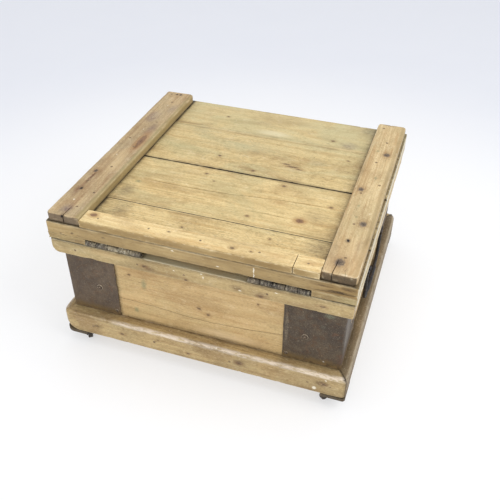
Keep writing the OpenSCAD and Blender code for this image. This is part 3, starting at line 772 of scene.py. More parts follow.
def pine(name, grain, thick, centre, seed, tones, knots=(), red_knots=(), holes=(),
         stains=(), pale=(), fades=(), wear=0.7, worn=rgb(222, 204, 164), mottling=0.55,
         pith=45.0, rings=190.0, ends=rgb(150, 122, 84), end_dark=0.55, dirt=0.6,
         contrast=1.0, knot_tones=KNOT_TONES, knot_amount=1.0, rub_width=0.085):
    """Old pine. tones are light, dark and mottle; stains (centre, radii, colour, strength);
    fades (axis, from, to, colour, amount); pith is its distance from the board."""
    wood = PineShader(name, grain, seed, tones, dirt)
    ring = wood.growth_rings(thick, centre, seed, pith, rings, [*knots, *red_knots])
    wood.lay_grain(ring, contrast, mottling)
    for fade in fades:
        wood.fade(*fade)
    wood.ticks()
    for stain in stains:
        wood.stain(*stain)
    if knots:
        wood.dark_knots(knots, knot_tones, knot_amount)
    if red_knots:
        wood.red_knots(red_knots)
    wood.small_marks()
    rub = wood.rubbed_edges(rub_width, wear, worn)
    wood.end_grain(ring, ends, end_dark)
    if pale:
        wood.tint(wood.nearest(wood.frayed, pale), span=(1.2, 0.5), amount=0.85,
                  colour=rgb(236, 228, 206))
    if holes:
        wood.nail_holes(holes)
    wood.mesh_dirt_and_shade(worn)
    rough = wood.minus(wood.ease(wood.patch, span=(0.25, 0.75), to=(0.46, 0.70)),
                       wood.times(rub, 0.08))
    return wood.finish(rough, bump=0.6, distance=0.0010, specular=0.32)


def iron(name, seed, base, dark, rust, light, metal=0.35, rough=(0.48, 0.78), rusty=0.5,
         pitting=1.0, spots=(), bands=(), edges=False, fineness=1.0, ribs=0.0):
    """Old iron: uneven brown skin, rust bloom, pits, rubbed high spots.

    spots are like the stains of pine and bands like its fades."""
    skin = Shader(name, base)
    shifted = skin.vector("ADD", skin.place, [seed * 0.917, seed * 1.433, seed * 0.371])

    def sized(size, offset=None):
        vector = skin.scale(shifted, size * fineness)
        return vector if offset is None else skin.vector("ADD", vector, offset)

    def frayed(size, reach):
        return skin.vector("ADD", skin.place, skin.drift(sized(size), reach))

    big = skin.noise(sized(26), detail=4, rough=0.6, distortion=0.6)
    middle = skin.noise(sized(95), detail=5, rough=0.65, distortion=0.4)
    fine = skin.noise(sized(520), detail=4, rough=0.7)
    bloom = skin.noise(sized(60, [5, 1, 8]), detail=4, rough=0.6, distortion=0.8)
    dust = skin.noise(sized(700, [3, 7, 2]), detail=3, rough=0.75)
    flake = skin.noise(sized(230, [9, 4, 6]), detail=4, rough=0.7)
    skin.tint(big, span=(0.34, 0.64), colour=dark)
    skin.tint(middle, span=(0.50, 0.70), amount=rusty, colour=rust)
    skin.tint(bloom, span=(0.58, 0.74), amount=0.55 * rusty, colour=rgb(146, 96, 60))
    skin.tint(fine, span=(0.56, 0.74), amount=0.72, colour=light)
    skin.tint(fine, span=(0.42, 0.25), amount=0.55, colour=rgb(34, 28, 24))
    skin.tint(dust, span=(0.56, 0.70), amount=0.45, colour=light)
    skin.tint(dust, span=(0.44, 0.32), amount=0.55, colour=rgb(38, 31, 26))
    skin.tint(flake, span=(0.60, 0.68), amount=0.42,
              colour=skin.mix(0.35, light, rgb(150, 138, 118)))
    skin.tint(flake, span=(0.40, 0.32), amount=0.50, colour=dark)
    pits = skin.times(skin.ease(skin.cells(sized(430)), span=(0.30, 0.08)),
                      skin.ease(middle, span=(0.42, 0.6)))
    skin.paint(skin.times(pits, 0.7 * pitting), rgb(28, 22, 18))
    for axis, start, end, colour, amount in bands:
        mask = skin.ease(skin.split(frayed(60, reach=0.012), axis),
                         span=(start * MM, end * MM))
        skin.paint(skin.times(mask, skin.ease(
            skin.blend(middle, fine, 0.5), span=(0.36, 0.56),
            to=(0.15 * amount, amount))), colour)
    for centre, radii, colour, strength in spots:
        distance = skin.nearest(frayed(130, reach=0.006), [(centre, radii)])
        skin.paint(skin.times(skin.ease(distance, span=(1.2, 0.3)), skin.ease(
            skin.blend(fine, middle, 0.6), span=(0.40, 0.58),
            to=(0.12 * strength, strength))), colour)
    if edges:
        skin.paint(skin.times(skin.ease(skin.attribute("edge"), span=(0.10, 0.0)),
                              skin.ease(middle, span=(0.4, 0.6), to=(0.0, 0.6))), light)
        skin.paint(skin.times(skin.attribute("chip"), 0.6), dark)
    skin.height = skin.plus(skin.times(middle, 0.7), skin.times(fine, 0.35))
    skin.sink(skin.times(pits, 0.6 * pitting))
    if ribs:                    # rings and marks across a barrel that lies along X
        ring = skin.noise(skin.vector("MULTIPLY", frayed(200, reach=0.0025), [420, 90, 90]),
                          detail=2, rough=0.6)
        skin.tint(ring, span=(0.50, 0.60), amount=ribs, colour=dark)
        skin.tint(ring, span=(0.46, 0.38), amount=ribs * 0.8, colour=light)
        skin.sink(skin.times(ring, 1.2 * ribs))
    return skin.finish(skin.ease(middle, span=(0.3, 0.7), to=rough), bump=0.6,
                       distance=0.0007, metal=metal, specular=0.5)


# ---------------------------------------------------------------- marks and tones
def marks(axis, at, depth, *rows):
    """Spots on a face at `at` on the given axis, reaching `depth` along it.

    A row is (u, v, radius u, radius v, then any colour and strength), where u and v are the
    other two axes in X, Y, Z order."""
    spots = []
    for u, v, radius_u, radius_v, *rest in rows:
        centre, radii = [u, v], [radius_u, radius_v]
        centre.insert(axis, at)
        radii.insert(axis, depth)
        spots.append((centre, radii, *rest))
    return spots


def through(axis, *rows):
    """Spots that run right through the board along an axis."""
    return marks(axis, 0, 0, *rows)


on_lid = partial(marks, Z, 316, 9)
on_lid_back = partial(marks, Y, 289, 9)
on_batten = partial(marks, Z, 334, 9)
on_strip = partial(marks, Z, 330, 9)
on_back_wall = partial(marks, Y, 268, 12)
on_back_rail = partial(marks, Y, 289, 12)
on_back_plinth = partial(marks, Y, 295, 12)

HONEY = rgb(218, 194, 138)
HONEY_DARK = rgb(184, 148, 90)
GREENGREY = rgb(178, 168, 122)
GREEN = rgb(122, 126, 92)
PURPLE = rgb(112, 92, 90)
NOTCH = rgb(44, 34, 24)

LID_TOP = box_mm("lid_board_back")[1][Z]
BATTEN_LEFT, BATTEN_RIGHT = box_mm("lid_batten_left"), box_mm("lid_batten_right")
STRIPS = box_mm("lid_strip_long"), box_mm("lid_strip_short")
BACK_START = float(box_mm("lid_board_back")[0][Y])
BACK_MIDDLE_START = float(box_mm("lid_board_back_middle")[0][Y])


def long_axis(node):
    """Front and back pieces run along X, left and right ones along Y."""
    return X if "front" in node or "back" in node else Y


# ---------------------------------------------------------------- lid boards
def to_nearest(points, boxes):
    """Distance in plan to the nearest of the boxes."""
    distances = []
    for low, high in boxes:
        x, y = (np.maximum(np.maximum(low[i] - points[:, i], points[:, i] - high[i]), 0)
                for i in (X, Y))
        distances.append(np.hypot(x, y))
    return np.minimum(*distances)


def lid_grime_and_shade(points):
    """Dirt and painted shade round the battens and strips, darker outside the battens and a
    little darker on the underside.
    """
    x, y, z = points.T
    batten = to_nearest(points, (BATTEN_LEFT, BATTEN_RIGHT))
    strip = to_nearest(points, STRIPS)
    amount = (0.75 * smooth(batten, 9, 0.5)
              + 0.42 * smooth(batten, 34, 4) * (0.35 + 0.65 * smooth(y, 60, 230))
              + 0.55 * smooth(strip, 7, 0.5) + 0.25 * smooth(strip, 24, 2)
              + np.where(x < BATTEN_LEFT[0][X] - 0.5, 0.90, 0.0)
              + np.where(x > BATTEN_RIGHT[1][X] + 0.5, 0.42, 0.0))
    covered = (batten < 0.01) | (strip < 0.01)
    return (np.where((z > LID_TOP - 2) & ~covered, amount, 0.0)
            + np.where(z < LID_TOP - 24, 0.12, 0))


def lid_foot_shade(points):
    """Painted shade: black lines along the feet of the battens and strips."""
    x, _, z = points.T
    batten = to_nearest(points, (BATTEN_LEFT, BATTEN_RIGHT))
    strip = to_nearest(points, STRIPS)
    between = (x > BATTEN_LEFT[0][X]) & (x < BATTEN_RIGHT[1][X])
    vary = 0.5 + 0.5 * fbm(points / 12.0, 71)
    return np.where((z > LID_TOP - 1.5) & between,
                    0.95 * smooth(batten, 3.4, 0.8) * (0.55 + 0.6 * vary)
                    + 0.5 * smooth(strip, 2.2, 0.4) * vary, 0.0)


def lid_rub(sign, edge_y, top):
    """Wear along the long upper edge on the outside of the lid."""
    def rub(points):
        distance = np.hypot(edge_y * sign - points[:, Y] * sign, top - points[:, Z])
        return 0.9 * smooth(distance, 4.2, 1.2) * smooth(fbm(points / 26.0, 91), -0.25, 0.25)
    return rub


FRONT_LOOK = dict(
    tones=(HONEY, HONEY_DARK, rgb(190, 180, 134)), mottling=0.72, dirt=0.84,
    fades=[(Y, -60, -290, rgb(204, 194, 150), 0.45)])
BACK_LOOK = dict(
    tones=(rgb(228, 203, 146), rgb(192, 156, 96), GREENGREY), mottling=0.46,
    fades=[(Y, 262, 289, rgb(176, 152, 108), 0.30), (Y, 284, 288.6, rgb(150, 124, 80), 0.90)])
# Each board: seed, sign of its outer long edge, widths grown into the tight joint on its
# low and high Y sides, shape for board() and look for pine().
LID_BOARDS = {
    "lid_board_front": dict(
        seed=3.1, outer=-1, grow=(0, 0.42),
        shape=dict(edges={"-y+z": 3.6, "-y-z": 2.2, "-x-y": 3.5, "+x-y": 3.5, "+y+z": 0.35}),
        look=dict(
            FRONT_LOOK,
            knots=through(Z, (-148, -197, 4.5, 3.2), (120, -232, 3.2, 2.4)),
            stains=on_lid((-188, -185, 26, 20, PURPLE, 0.55),
                          (-10, -186, 46, 16, rgb(232, 220, 184), 0.7),
                          (100, -215, 60, 26, GREENGREY, 0.5),
                          (-222, -270, 24, 20, rgb(112, 98, 74), 0.75)))),
    "lid_board_front_middle": dict(
        seed=5.7, outer=0, grow=(0.42, 0),
        shape=dict(edges={"+y+z": 1.8, "-y+z": 0.35}, dark_sides=[(Y, 1, 2.3)],
                   cracks=[Crack([(20, -92), (120, -96), (196, -90)], width=0.8, depth=1.8,
                                 taper=30, reach=20)]),
        look=dict(
            FRONT_LOOK,
            knots=through(Z, (-91, -56, 13, 3.4), (-76, -63, 9, 2.6), (-107, -50, 8, 2.4),
                          (-15, -14, 4.4, 3.2), (74, -50, 3.6, 2.8), (-200, -120, 3, 2.2)),
            stains=on_lid((-141, -88, 20, 14, rgb(150, 126, 92), 0.45),
                          (160, -60, 60, 40, GREENGREY, 0.5),
                          (20, -110, 90, 30, rgb(186, 178, 138), 0.55))
            + marks(Z, 316, 14, (-302, BACK_MIDDLE_START, 8, 3.6, NOTCH, 1.0)))),
    "lid_board_back_middle": dict(
        seed=8.3, outer=0, grow=(0, 0),
        shape=dict(edges={"-y+z": 1.8, "+y+z": 0.8}, dark_sides=[(Y, -1, 2.3), (Y, 1, 1.0)],
                   cracks=[Crack([(166, 91), (87, 92), (5, 88), (-102, 75), (-203, 69)],
                                 width=1.3, depth=5.0, taper=26, reach=34),
                           Crack([(-130, 131), (-90, 129), (-40, 132)], width=0.8, depth=1.6,
                                 taper=20, reach=18)]),
        look=dict(
            BACK_LOOK, dirt=0.66, red_knots=through(Z, (-158, 132, 7.4, 6.4)),
            knots=through(Z, (-205, 68, 4.6, 3.2), (-95, 23, 4.2, 3.4), (-57, 149, 3.4, 2.8),
                          (74, 29, 3.8, 2.8), (49, 52, 2.2, 1.8)),
            stains=on_lid((198, 104, 8, 6, GREEN, 0.8),
                          (-186, 110, 34, 30, rgb(140, 118, 82), 0.5),
                          (205, 145, 20, 34, rgb(128, 112, 84), 0.55),
                          (-105, 85, 26, 10, rgb(176, 140, 88), 0.6))
            + marks(Z, 316, 14, (-302, BACK_MIDDLE_START, 8, 3.6, NOTCH, 1.0),
                    (-302, BACK_START, 8, 3.6, NOTCH, 1.0))
            + marks(Z, 316, 12, (-302, BACK_START - 36, 8, 3.0, NOTCH, 1.0)))),
    "lid_board_back": dict(
        seed=11.9, outer=1, grow=(0, 0),
        shape=dict(edges={"+y+z": 4.2, "+y-z": 0.5, "-x+y": 3.5, "+x+y": 3.5},
                   dark_sides=[(Y, -1, 1.0)],
                   cracks=[Crack([(-304.7, 296.5), (-262, 295.0), (-226, 293.5)], across=Z,
                                 face=Y, width=1.1, depth=3.4, taper=16, reach=7,
                                 open_start=True)]),
        look=dict(
            BACK_LOOK, dirt=0.84,
            fades=BACK_LOOK["fades"] + [(X, -206, -286, rgb(140, 110, 60), 0.72)],
            knots=through(Z, (48, 224, 3, 2.4), (-120, 205, 2.4, 2.0)),
            stains=on_lid((190, 205, 26, 30, rgb(122, 106, 78), 0.5),
                          (-206, 205, 26, 34, rgb(120, 104, 76), 0.6))
            + on_lid_back((249, 298, 4, 3, rgb(74, 56, 40), 0.9),
                          (182, 303, 5, 3, rgb(74, 56, 40), 0.9),
                          (275, 292, 3, 3, rgb(74, 56, 40), 0.9))
            + marks(Z, 316, 14, (-302, BACK_START, 8, 3.6, NOTCH, 1.0))
            + marks(Z, 316, 12, (-302, 214, 8, 3.0, NOTCH, 0.9))
            + on_lid_back((-272, 298, 34, 3.4, rgb(60, 42, 24), 1.0),
                          (-240, 306, 26, 3.0, rgb(88, 64, 36), 0.9),
                          (-288, 308, 16, 5, rgb(76, 54, 30), 0.95)),
            pale=marks(Y, 289, 4, (-117, 305, 1.6, 7), (-117, 293, 1.1, 6),
                       (40, 309, 2.5, 1.6), (-48, 296, 3, 1.5)))),
}


def lid_board(node, joint, seed, outer, grow, shape, look):
    low, high = box_mm(node)
    low[Y] -= grow[0] * joint
    high[Y] += grow[1] * joint
    # painted light: the pale cream end grain stands for the lit ends of the lid boards
    wood = pine(node + "_wood", X, Z, (low + high) / 2, seed, wear=0.75,
                ends=rgb(222, 211, 184), end_dark=0.25, **look)
    end_edges = {"-x+z": 3.0, "+x+z": 3.0, "-x-z": 1.8, "+x-z": 1.8}
    shape = dict(shape, edges={**end_edges, **shape["edges"]})
    rub = lid_rub(outer, (high if outer > 0 else low)[Y], high[Z]) if outer else None
    make(node, board(low, high, X, radius=1.1, step=(5, 4), seed=int(seed * 10), chips=1.5,
                     grime=lid_grime_and_shade, dirt=lid_foot_shade, rub=rub, **shape), wood)


front_joint = box_mm("lid_board_front_middle")[0][Y] - box_mm("lid_board_front")[1][Y]
for node, part in LID_BOARDS.items():
    lid_board(node, front_joint, **part)


# ---------------------------------------------------------------- lid frame under the boards
# painted light: the pale end grain stands for the lit ends of the lid frame
FRAME_ENDS = dict(ends=rgb(206, 192, 160), end_dark=0.25, mottling=0.5)


def lid_frame_back(node):
    """The back bar in three parts: the inner bar and the outer lengths at its two ends."""
    low, high = box_mm(node)
    corners = vertices_mm(node)
    levels = np.unique(np.round(corners[:, Y], 1))
    ledge = float(levels[-2]) if len(levels) > 2 else float(high[Y])
    outer = corners[corners[:, Y] > ledge + 1]
    start = float(np.abs(outer[:, X]).min()) if len(outer) else float(high[X])
    parts = [board(low, [high[X], ledge, high[Z]], X, radius=0.8, step=(7, 5), seed=301)]
    for sign in (-1, 1):
        near, far = sorted((sign * start, sign * high[X]))
        end = "+x+y" if sign > 0 else "-x+y"
        parts.append(board([near, ledge - 1.0, low[Z]], [far, high[Y], high[Z]], X,
                           edges={"+y-z": 4.5, end: 3.0}, radius=0.4, seed=302 + sign,
                           wave=0.1))
    wood = pine(node + "_wood_b", X, Z, (low + high) / 2, seed=11.9, dirt=0.8, wear=0.3,
                tones=(rgb(174, 149, 100), rgb(146, 116, 70), GREENGREY), **FRAME_ENDS)
    make(node, join(parts), wood)


def lid_frame_bar(node, i):
    low, high = box_mm(node)
    wood = pine(node + "_wood", long_axis(node), Z, (low + high) / 2, seed=21.3 + 3.7 * i,
                tones=(rgb(206, 180, 126), rgb(170, 136, 84), GREENGREY), **FRAME_ENDS)
    make(node, board(low, high, long_axis(node), radius=0.9, step=(7, 5), seed=300 + i), wood)


lid_frame_bar("lid_frame_front", 0)
lid_frame_back("lid_frame_back")
lid_frame_bar("lid_frame_left", 2)
lid_frame_bar("lid_frame_right", 3)

# ---------------------------------------------------------------- battens and strips
batten_crack = partial(Crack, along=Y, across=X, open_end=True)


def batten_left_rub(points):
    high = BATTEN_LEFT[1]
    distance = np.hypot(high[Y] - points[:, Y], high[Z] - points[:, Z])
    return 0.95 * smooth(distance, 7.0, 3.0) * smooth(fbm(points / 9.0, 33), -0.1, 0.35)


def batten_left_grime(points):
    high = BATTEN_LEFT[1]
    return 0.95 * (points[:, Y] > high[Y] - 1.4) * (points[:, Z] < high[Z] - 4.0)


BATTENS = {
    "lid_batten_right": dict(
        look=dict(
            seed=31.7, tones=(rgb(202, 176, 132), rgb(160, 126, 86), rgb(172, 156, 122)),
            knots=through(Z, (285, 121, 4.6, 6.0), (252, 2, 3.4, 12)),
            red_knots=through(Z, (252.5, -24, 6.2, 25)),
            knot_tones=(rgb(50, 42, 36), rgb(78, 66, 56), rgb(108, 92, 76), rgb(96, 78, 60)),
            fades=[(X, 243, 236.5, rgb(158, 140, 92), 0.80)],
            holes=marks(Z, 334, 6, (280, 190, 2.6, 3.2), (262, -271, 2.4, 3),
                        (272, -270, 2, 2.6)) + marks(Z, 331, 3, (268, 286, 2.2, 4)),
            stains=on_batten((282, 148, 5.0, 32, rgb(100, 66, 46), 0.95),
                             (270, 262, 15, 20, PURPLE, 0.75),
                             (278, -141, 17, 34, PURPLE, 0.80),
                             (284, 196, 9, 26, rgb(124, 92, 68), 0.8),
                             (255, -80, 11, 34, PURPLE, 0.6),
                             (250, -190, 12, 30, rgb(150, 132, 116), 0.5),
                             (236, 60, 6, 200, rgb(170, 164, 124), 0.35),
                             (262, 70, 16, 60, rgb(214, 188, 140), 0.5)),
            pale=marks(Z, 334, 6, (273, 230, 1.6, 2.6), (276, 46, 1.3, 2.0),
                       (272, -76, 1.4, 2.2), (268, -205, 1.3, 2.0)),
            wear=0.45, worn=rgb(222, 200, 166), mottling=0.55, ends=rgb(104, 90, 72),
            rings=260.0),
        shape=dict(
            edges={"-x+z": 6.4, "+x+z": 5.0, "+y+z": 5.0, "-y+z": 6.5}, wave=0.6,
            rounded={"+x+y": 9, "-x+y": 5, "+x-y": 9, "-x-y": 12}, seed=401,
            cracks=[batten_crack([(250, 264.5), (286, 266)], width=1.8, depth=6.0, taper=14,
                                 reach=14, through=18),
                    batten_crack([(276, 283), (287, 283.5)], width=0.5, depth=2.0, taper=8,
                                 reach=5, through=9)])),
    "lid_batten_left": dict(
        look=dict(
            seed=37.9, tones=(rgb(218, 194, 146), rgb(180, 142, 92), rgb(186, 168, 124)),
            knots=through(Z, (-278, -142, 7.0, 8.0), (-251, 10, 6.0, 7.6),
                          (-278, 127, 7.0, 8.4), (-261, 252, 9.0, 12.0)),
            knot_tones=(rgb(58, 48, 42), rgb(84, 72, 62), rgb(112, 98, 84), rgb(96, 80, 62)),
            fades=[(X, -288, -293.5, rgb(168, 146, 104), 0.7),
                   (Y, 120, 290, rgb(196, 164, 122), 0.5)],
            holes=marks(Z, 334, 6, (-262, 186, 2.8, 3.6))
            + marks(Z, 334, 3, (-261, -286, 8, 4.5)),
            stains=on_batten((-272, -41, 4, 6, GREEN, 0.8), (-258, 71, 4, 7, GREEN, 0.6),
                             (-257, -153, 4, 6, GREEN, 0.5), (-262, 108, 3, 5, GREEN, 0.5),
                             (-245, 225, 9, 34, rgb(150, 128, 96), 0.6),
                             (-285, 200, 9, 40, rgb(172, 152, 118), 0.5),
                             (-240, -60, 5, 160, rgb(150, 136, 100), 0.35)),
            wear=0.62, worn=rgb(240, 228, 196), mottling=0.50, ends=rgb(78, 57, 30),
            end_dark=0.95, rings=230.0),
        shape=dict(
            edges={"+x+z": 4.4, "-x+z": 4.4, "+y+z": 5.5, "-y+z": 4.6}, wave=0.5,
            rounded={"+x+y": 5, "-x+y": 9, "+x-y": 9, "-x-y": 8}, seed=417,
            rub=batten_left_rub, grime=batten_left_grime,
            cracks=[batten_crack([(236, -258), (262, -257), (286, -255)], width=1.3,
                                 depth=5.0, taper=20, reach=12, through=18),
                    batten_crack([(279, -242.5), (287, -242)], width=0.5, depth=1.6, taper=6,
                                 reach=5, through=7),
                    batten_crack([(262, -276), (287, -278)], width=0.6, depth=2.4, taper=16,
                                 reach=6, through=11)])),
}


def batten(node, look, shape):
    low, high = box_mm(node)
    wood = pine(node + "_wood", Y, Z, (low + high) / 2, contrast=1.3, knot_amount=1.25, **look)

    # painted shade along the foot of the batten, where it stands on the lid
    def batten_foot_shade(points):
        return 0.75 * smooth(points[:, Z] - low[Z], 2.8, 0.4)
    make(node, board(low, high, Y, radius=1.4, step=(5, 3.5), chips=1.8, dirt=batten_foot_shade,
                     **shape), wood)


for node, part in BATTENS.items():
    batten(node, **part)

STRIP_LOOKS = {
    "lid_strip_long": dict(
        seed=41.3, red_knots=through(Z, (213, 260, 6.5, 4.6)),
        knots=through(Z, (-70, 270, 4.6, 3.2), (-105, 269, 2.2, 1.8), (57, 262, 2.2, 1.8)),
        stains=on_strip((40, 243, 12, 5, rgb(96, 70, 44), 0.7),
                        (-150, 268, 24, 9, rgb(196, 158, 104), 0.6),
                        (150, 262, 40, 8, rgb(196, 170, 126), 0.5))),
    "lid_strip_short": dict(
        seed=43.9, stains=on_strip((-215, 265, 18, 14, rgb(190, 156, 108), 0.6))),
}
for node, look in STRIP_LOOKS.items():
    low, high = box_mm(node)
    wood = pine(node + "_wood", X, Z, (low + high) / 2,
                tones=(rgb(242, 216, 158), rgb(206, 166, 104), rgb(216, 196, 146)), wear=0.6,
                rub_width=0.10, worn=rgb(242, 226, 186), mottling=0.35, dirt=0.55,
                ends=rgb(150, 120, 80),
                fades=[(Y, high[Y] - 4.5, high[Y] - 1.0, rgb(150, 123, 76), 1.0)], **look)
    make(node, board(low, high, X, edges={"+y+z": 5.0, "-y+z": 2.4, "+y-z": 1.6}, radius=1.1,
                     step=(5, 3.5), seed=int(look["seed"] * 10), chips=1.2), wood)

# ---------------------------------------------------------------- walls
WALL_LOOKS = {
    "back_wall_board": dict(
        seed=51.2,
        knots=through(Y, (2, 158, 4.8, 3.8), (-17, 147, 4.0, 3.2), (150, 205, 3, 2.4),
                      (-120, 206, 2.6, 2.2)),
        stains=on_back_wall((119, 187, 7, 16, GREEN, 0.8), (143, 112, 6, 9, GREEN, 0.75),
                            (-60, 100, 90, 14, rgb(222, 198, 158), 0.5),
                            (60, 226, 120, 14, rgb(160, 132, 88), 0.5),
                            (-110, 176, 60, 12, rgb(196, 162, 110), 0.45))),
    "front_wall_board": dict(
        seed=55.8, knots=through(Y, (-90, 120, 6, 4.6), (130, 170, 5, 4)),
        stains=marks(Y, -268, 12, (40, 180, 60, 20, GREENGREY, 0.6))),
    "left_end_board": dict(
        seed=58.1, knots=through(X, (60, 120, 6, 4.4), (-150, 190, 4, 3))),
    "right_end_board": dict(
        seed=62.4, knots=through(X, (-40, 150, 5, 4), (120, 110, 7, 5))),
}
WALL_CRACKS = {
    "back_wall_board": [Crack(
        [(200, 137), (156, 135), (89, 133), (34, 128), (-24, 127), (-104, 133), (-173, 142),
         (-230, 146)], across=Z, face=Y, width=1.1, depth=3.6, taper=40, reach=30)],
    "front_wall_board": [Crack(
        [(-210, 188), (-90, 182), (40, 186)], across=Z, face=Y, sign=-1, width=1.0, depth=3.0,
        taper=40, reach=26)],
}
IRON_START = box_mm("corner_iron_back_right")[0]


def wall(node, look):
    low, high = box_mm(node)
    grain = long_axis(node)
    thick = 1 - grain
    wood = pine(node + "_wood", grain, thick, (low + high) / 2,
                tones=(rgb(206, 176, 124), rgb(178, 140, 88), rgb(182, 162, 114)),
                mottling=0.45, pith=-60.0 if low[thick] < 0 else 60.0, rings=150.0,
                fades=[(Z, 246, 226, rgb(150, 122, 84), 0.0)], **look)
    iron_edge = float(IRON_START[grain])

    # dirt and painted shade: on the outside a band under the rail, a band above the plinth and a
    # painted shadow beside the corner irons; inside, darker towards the bottom
    def grime(points):
        depth, z = points[:, thick], points[:, Z]
        outside = depth > high[thick] - 1 if high[thick] > 0 else depth < low[thick] + 1
        return np.where(outside, 0.75 * smooth(z, 228, 243) + 0.65 * smooth(z, 96, 86)
                        + 0.75 * smooth(np.abs(points[:, grain]), iron_edge - 4.5, iron_edge),
                        0.22 * smooth(z, 90, 62))
    make(node, board(low, high, grain, radius=0.9, step=(6, 5), grime=grime,
                     cracks=WALL_CRACKS.get(node, ()), seed=int(look["seed"] * 10)), wood)


for node, look in WALL_LOOKS.items():
    wall(node, look)


# ---------------------------------------------------------------- bottom boards and cleats
def bottom(node, seed, grain=None, knots=()):
    """Every piece of the node. Without a grain, each piece runs along its longest side."""
    boxes = islands(node)
    grains = [int(np.argmax(high - low)) if grain is None else grain for low, high in boxes]
    parts = [board(*box, grains[i], radius=1.0, step=(8, 5), seed=501 + 7 * i)
             for i, box in enumerate(boxes)]
    low, high = box_mm(node)
    wood = pine(node + "_wood", grains[0], Z, (low + high) / 2, seed, mottling=0.6, dirt=1.0,
                tones=(rgb(198, 170, 126), rgb(160, 126, 84), rgb(168, 158, 128)),
                knots=knots)
    make(node, join(parts), wood)


bottom("bottom_boards", seed=66.6 + 5, grain=Y,
       knots=through(Z, (-150, -80, 6, 8), (90, 120, 5, 7), (210, -160, 4, 6),
                     (-40, 40, 3, 4)))
bottom("bottom_cleats", seed=66.6)

# ---------------------------------------------------------------- rails
RAIL_LOOKS = {
    "back_rail": dict(
        seed=71.3,
        knots=through(Y, (102, 256, 5.6, 3.2), (17, 245, 4.4, 2.8), (-131, 247, 5.2, 3.4),
                      (-246, 257, 7.0, 2.6)),
        stains=on_back_rail((92, 252, 14, 7, rgb(104, 80, 54), 0.85),
                            (-84, 254, 15, 8, rgb(104, 80, 54), 0.85),
                            (-131, 250, 18, 9, rgb(110, 92, 72), 0.7),
                            (277, 258, 14, 10, rgb(150, 126, 88), 0.5),
                            (180, 262, 70, 6, rgb(196, 168, 120), 0.6),
                            (-200, 250, 60, 6, rgb(160, 130, 88), 0.5)),
        pale=marks(Y, 289, 4, (-15, 268, 2.4, 1.8), (-19, 262, 1.6, 3.2), (-91, 250, 3, 1.4),
                   (-160, 264, 3.4, 1.2), (40, 262, 2.2, 1.2))),
    "front_rail": dict(
        seed=74.6, knots=through(Y, (-110, 257, 4, 3), (190, 262, 3, 2.6)),
        stains=marks(Y, -289, 12, (0, 258, 16, 12, rgb(120, 96, 62), 0.6))),
    "left_rail": dict(seed=77.7, knots=through(X, (-60, 257, 4, 3))),
    "right_rail": dict(seed=79.2, knots=through(X, (90, 255, 4, 3))),
}
RAIL_TONES = (rgb(194, 170, 120), rgb(156, 126, 80), rgb(166, 150, 108))
# painted light: the left rail is given pale cream tones that stand for its lit side
LIT_LEFT_RAIL_TONES = (rgb(238, 226, 198), rgb(206, 184, 146), rgb(206, 192, 160))
hinge_low, hinge_high = box_mm("hinge_leaf_carcass_left")
HINGE_START = min(abs(hinge_low[X]), abs(hinge_high[X])) - 2


def rail(node, look):
    low, high = box_mm(node)
    grain = long_axis(node)
    thick = 1 - grain
    side = "-" if low[thick] < 0 else "+"
    fades = []
    if node == "back_rail":
        # painted light: the top of the back rail is painted pale grey-green, as if lit under the
        # lid
        fades = [(Z, high[Z] - 2.2, high[Z] - 0.2, rgb(186, 178, 150), 0.95)]
    wood = pine(node + "_wood", grain, thick, (low + high) / 2,
                tones=LIT_LEFT_RAIL_TONES if node == "left_rail" else RAIL_TONES, fades=fades,
                mottling=0.5, wear=0.55, rings=240.0, ends=rgb(196, 172, 132),
                pith=-50.0 if side == "-" else 50.0, **look)
    if grain == X:
        edges = {f"+x{side}y": 3.6, f"-x{side}y": 3.4, "-x-z": 3.0, "+x+z": 3,
                 f"{side}y+z": 2.2, f"{side}y-z": 2.8}
    else:
        edges = {f"{side}x+z": 2.4, f"{side}x-z": 2.4}

    def grime(points):
        """Dirt and painted shade below the upper and lower edges, and on top except between the
        hinges.
        """
        x, _, z = points.T
        top = (z > high[Z] - 1.6) * ((np.abs(x) > HINGE_START) if grain == X else 1.0)
        return (0.5 * smooth(z, high[Z] - 6, high[Z] - 2.0) * (z < high[Z] - 0.5)
                + 0.18 * smooth(z, low[Z] + 5, low[Z]) + 1.2 * top)
    make(node, board(low, high, grain, edges=edges, step=(5, 4), seed=int(look["seed"] * 10),
                     grime=grime, chips=1.3, rounded={"+x-z": 16} if grain == X else None),
         wood)


for node, look in RAIL_LOOKS.items():
    rail(node, look)

# ---------------------------------------------------------------- plinths, mitred at the corners
OUTER = box_mm("right_plinth")[1][X], box_mm("back_plinth")[1][Y]
WALL = box_mm("back_wall_board")[1]     # half sizes of the walls, which the plinth wraps


def corner_radius(side_x, side_y):
    return 6.0 if (side_x < 0 and side_y > 0) else 18.0


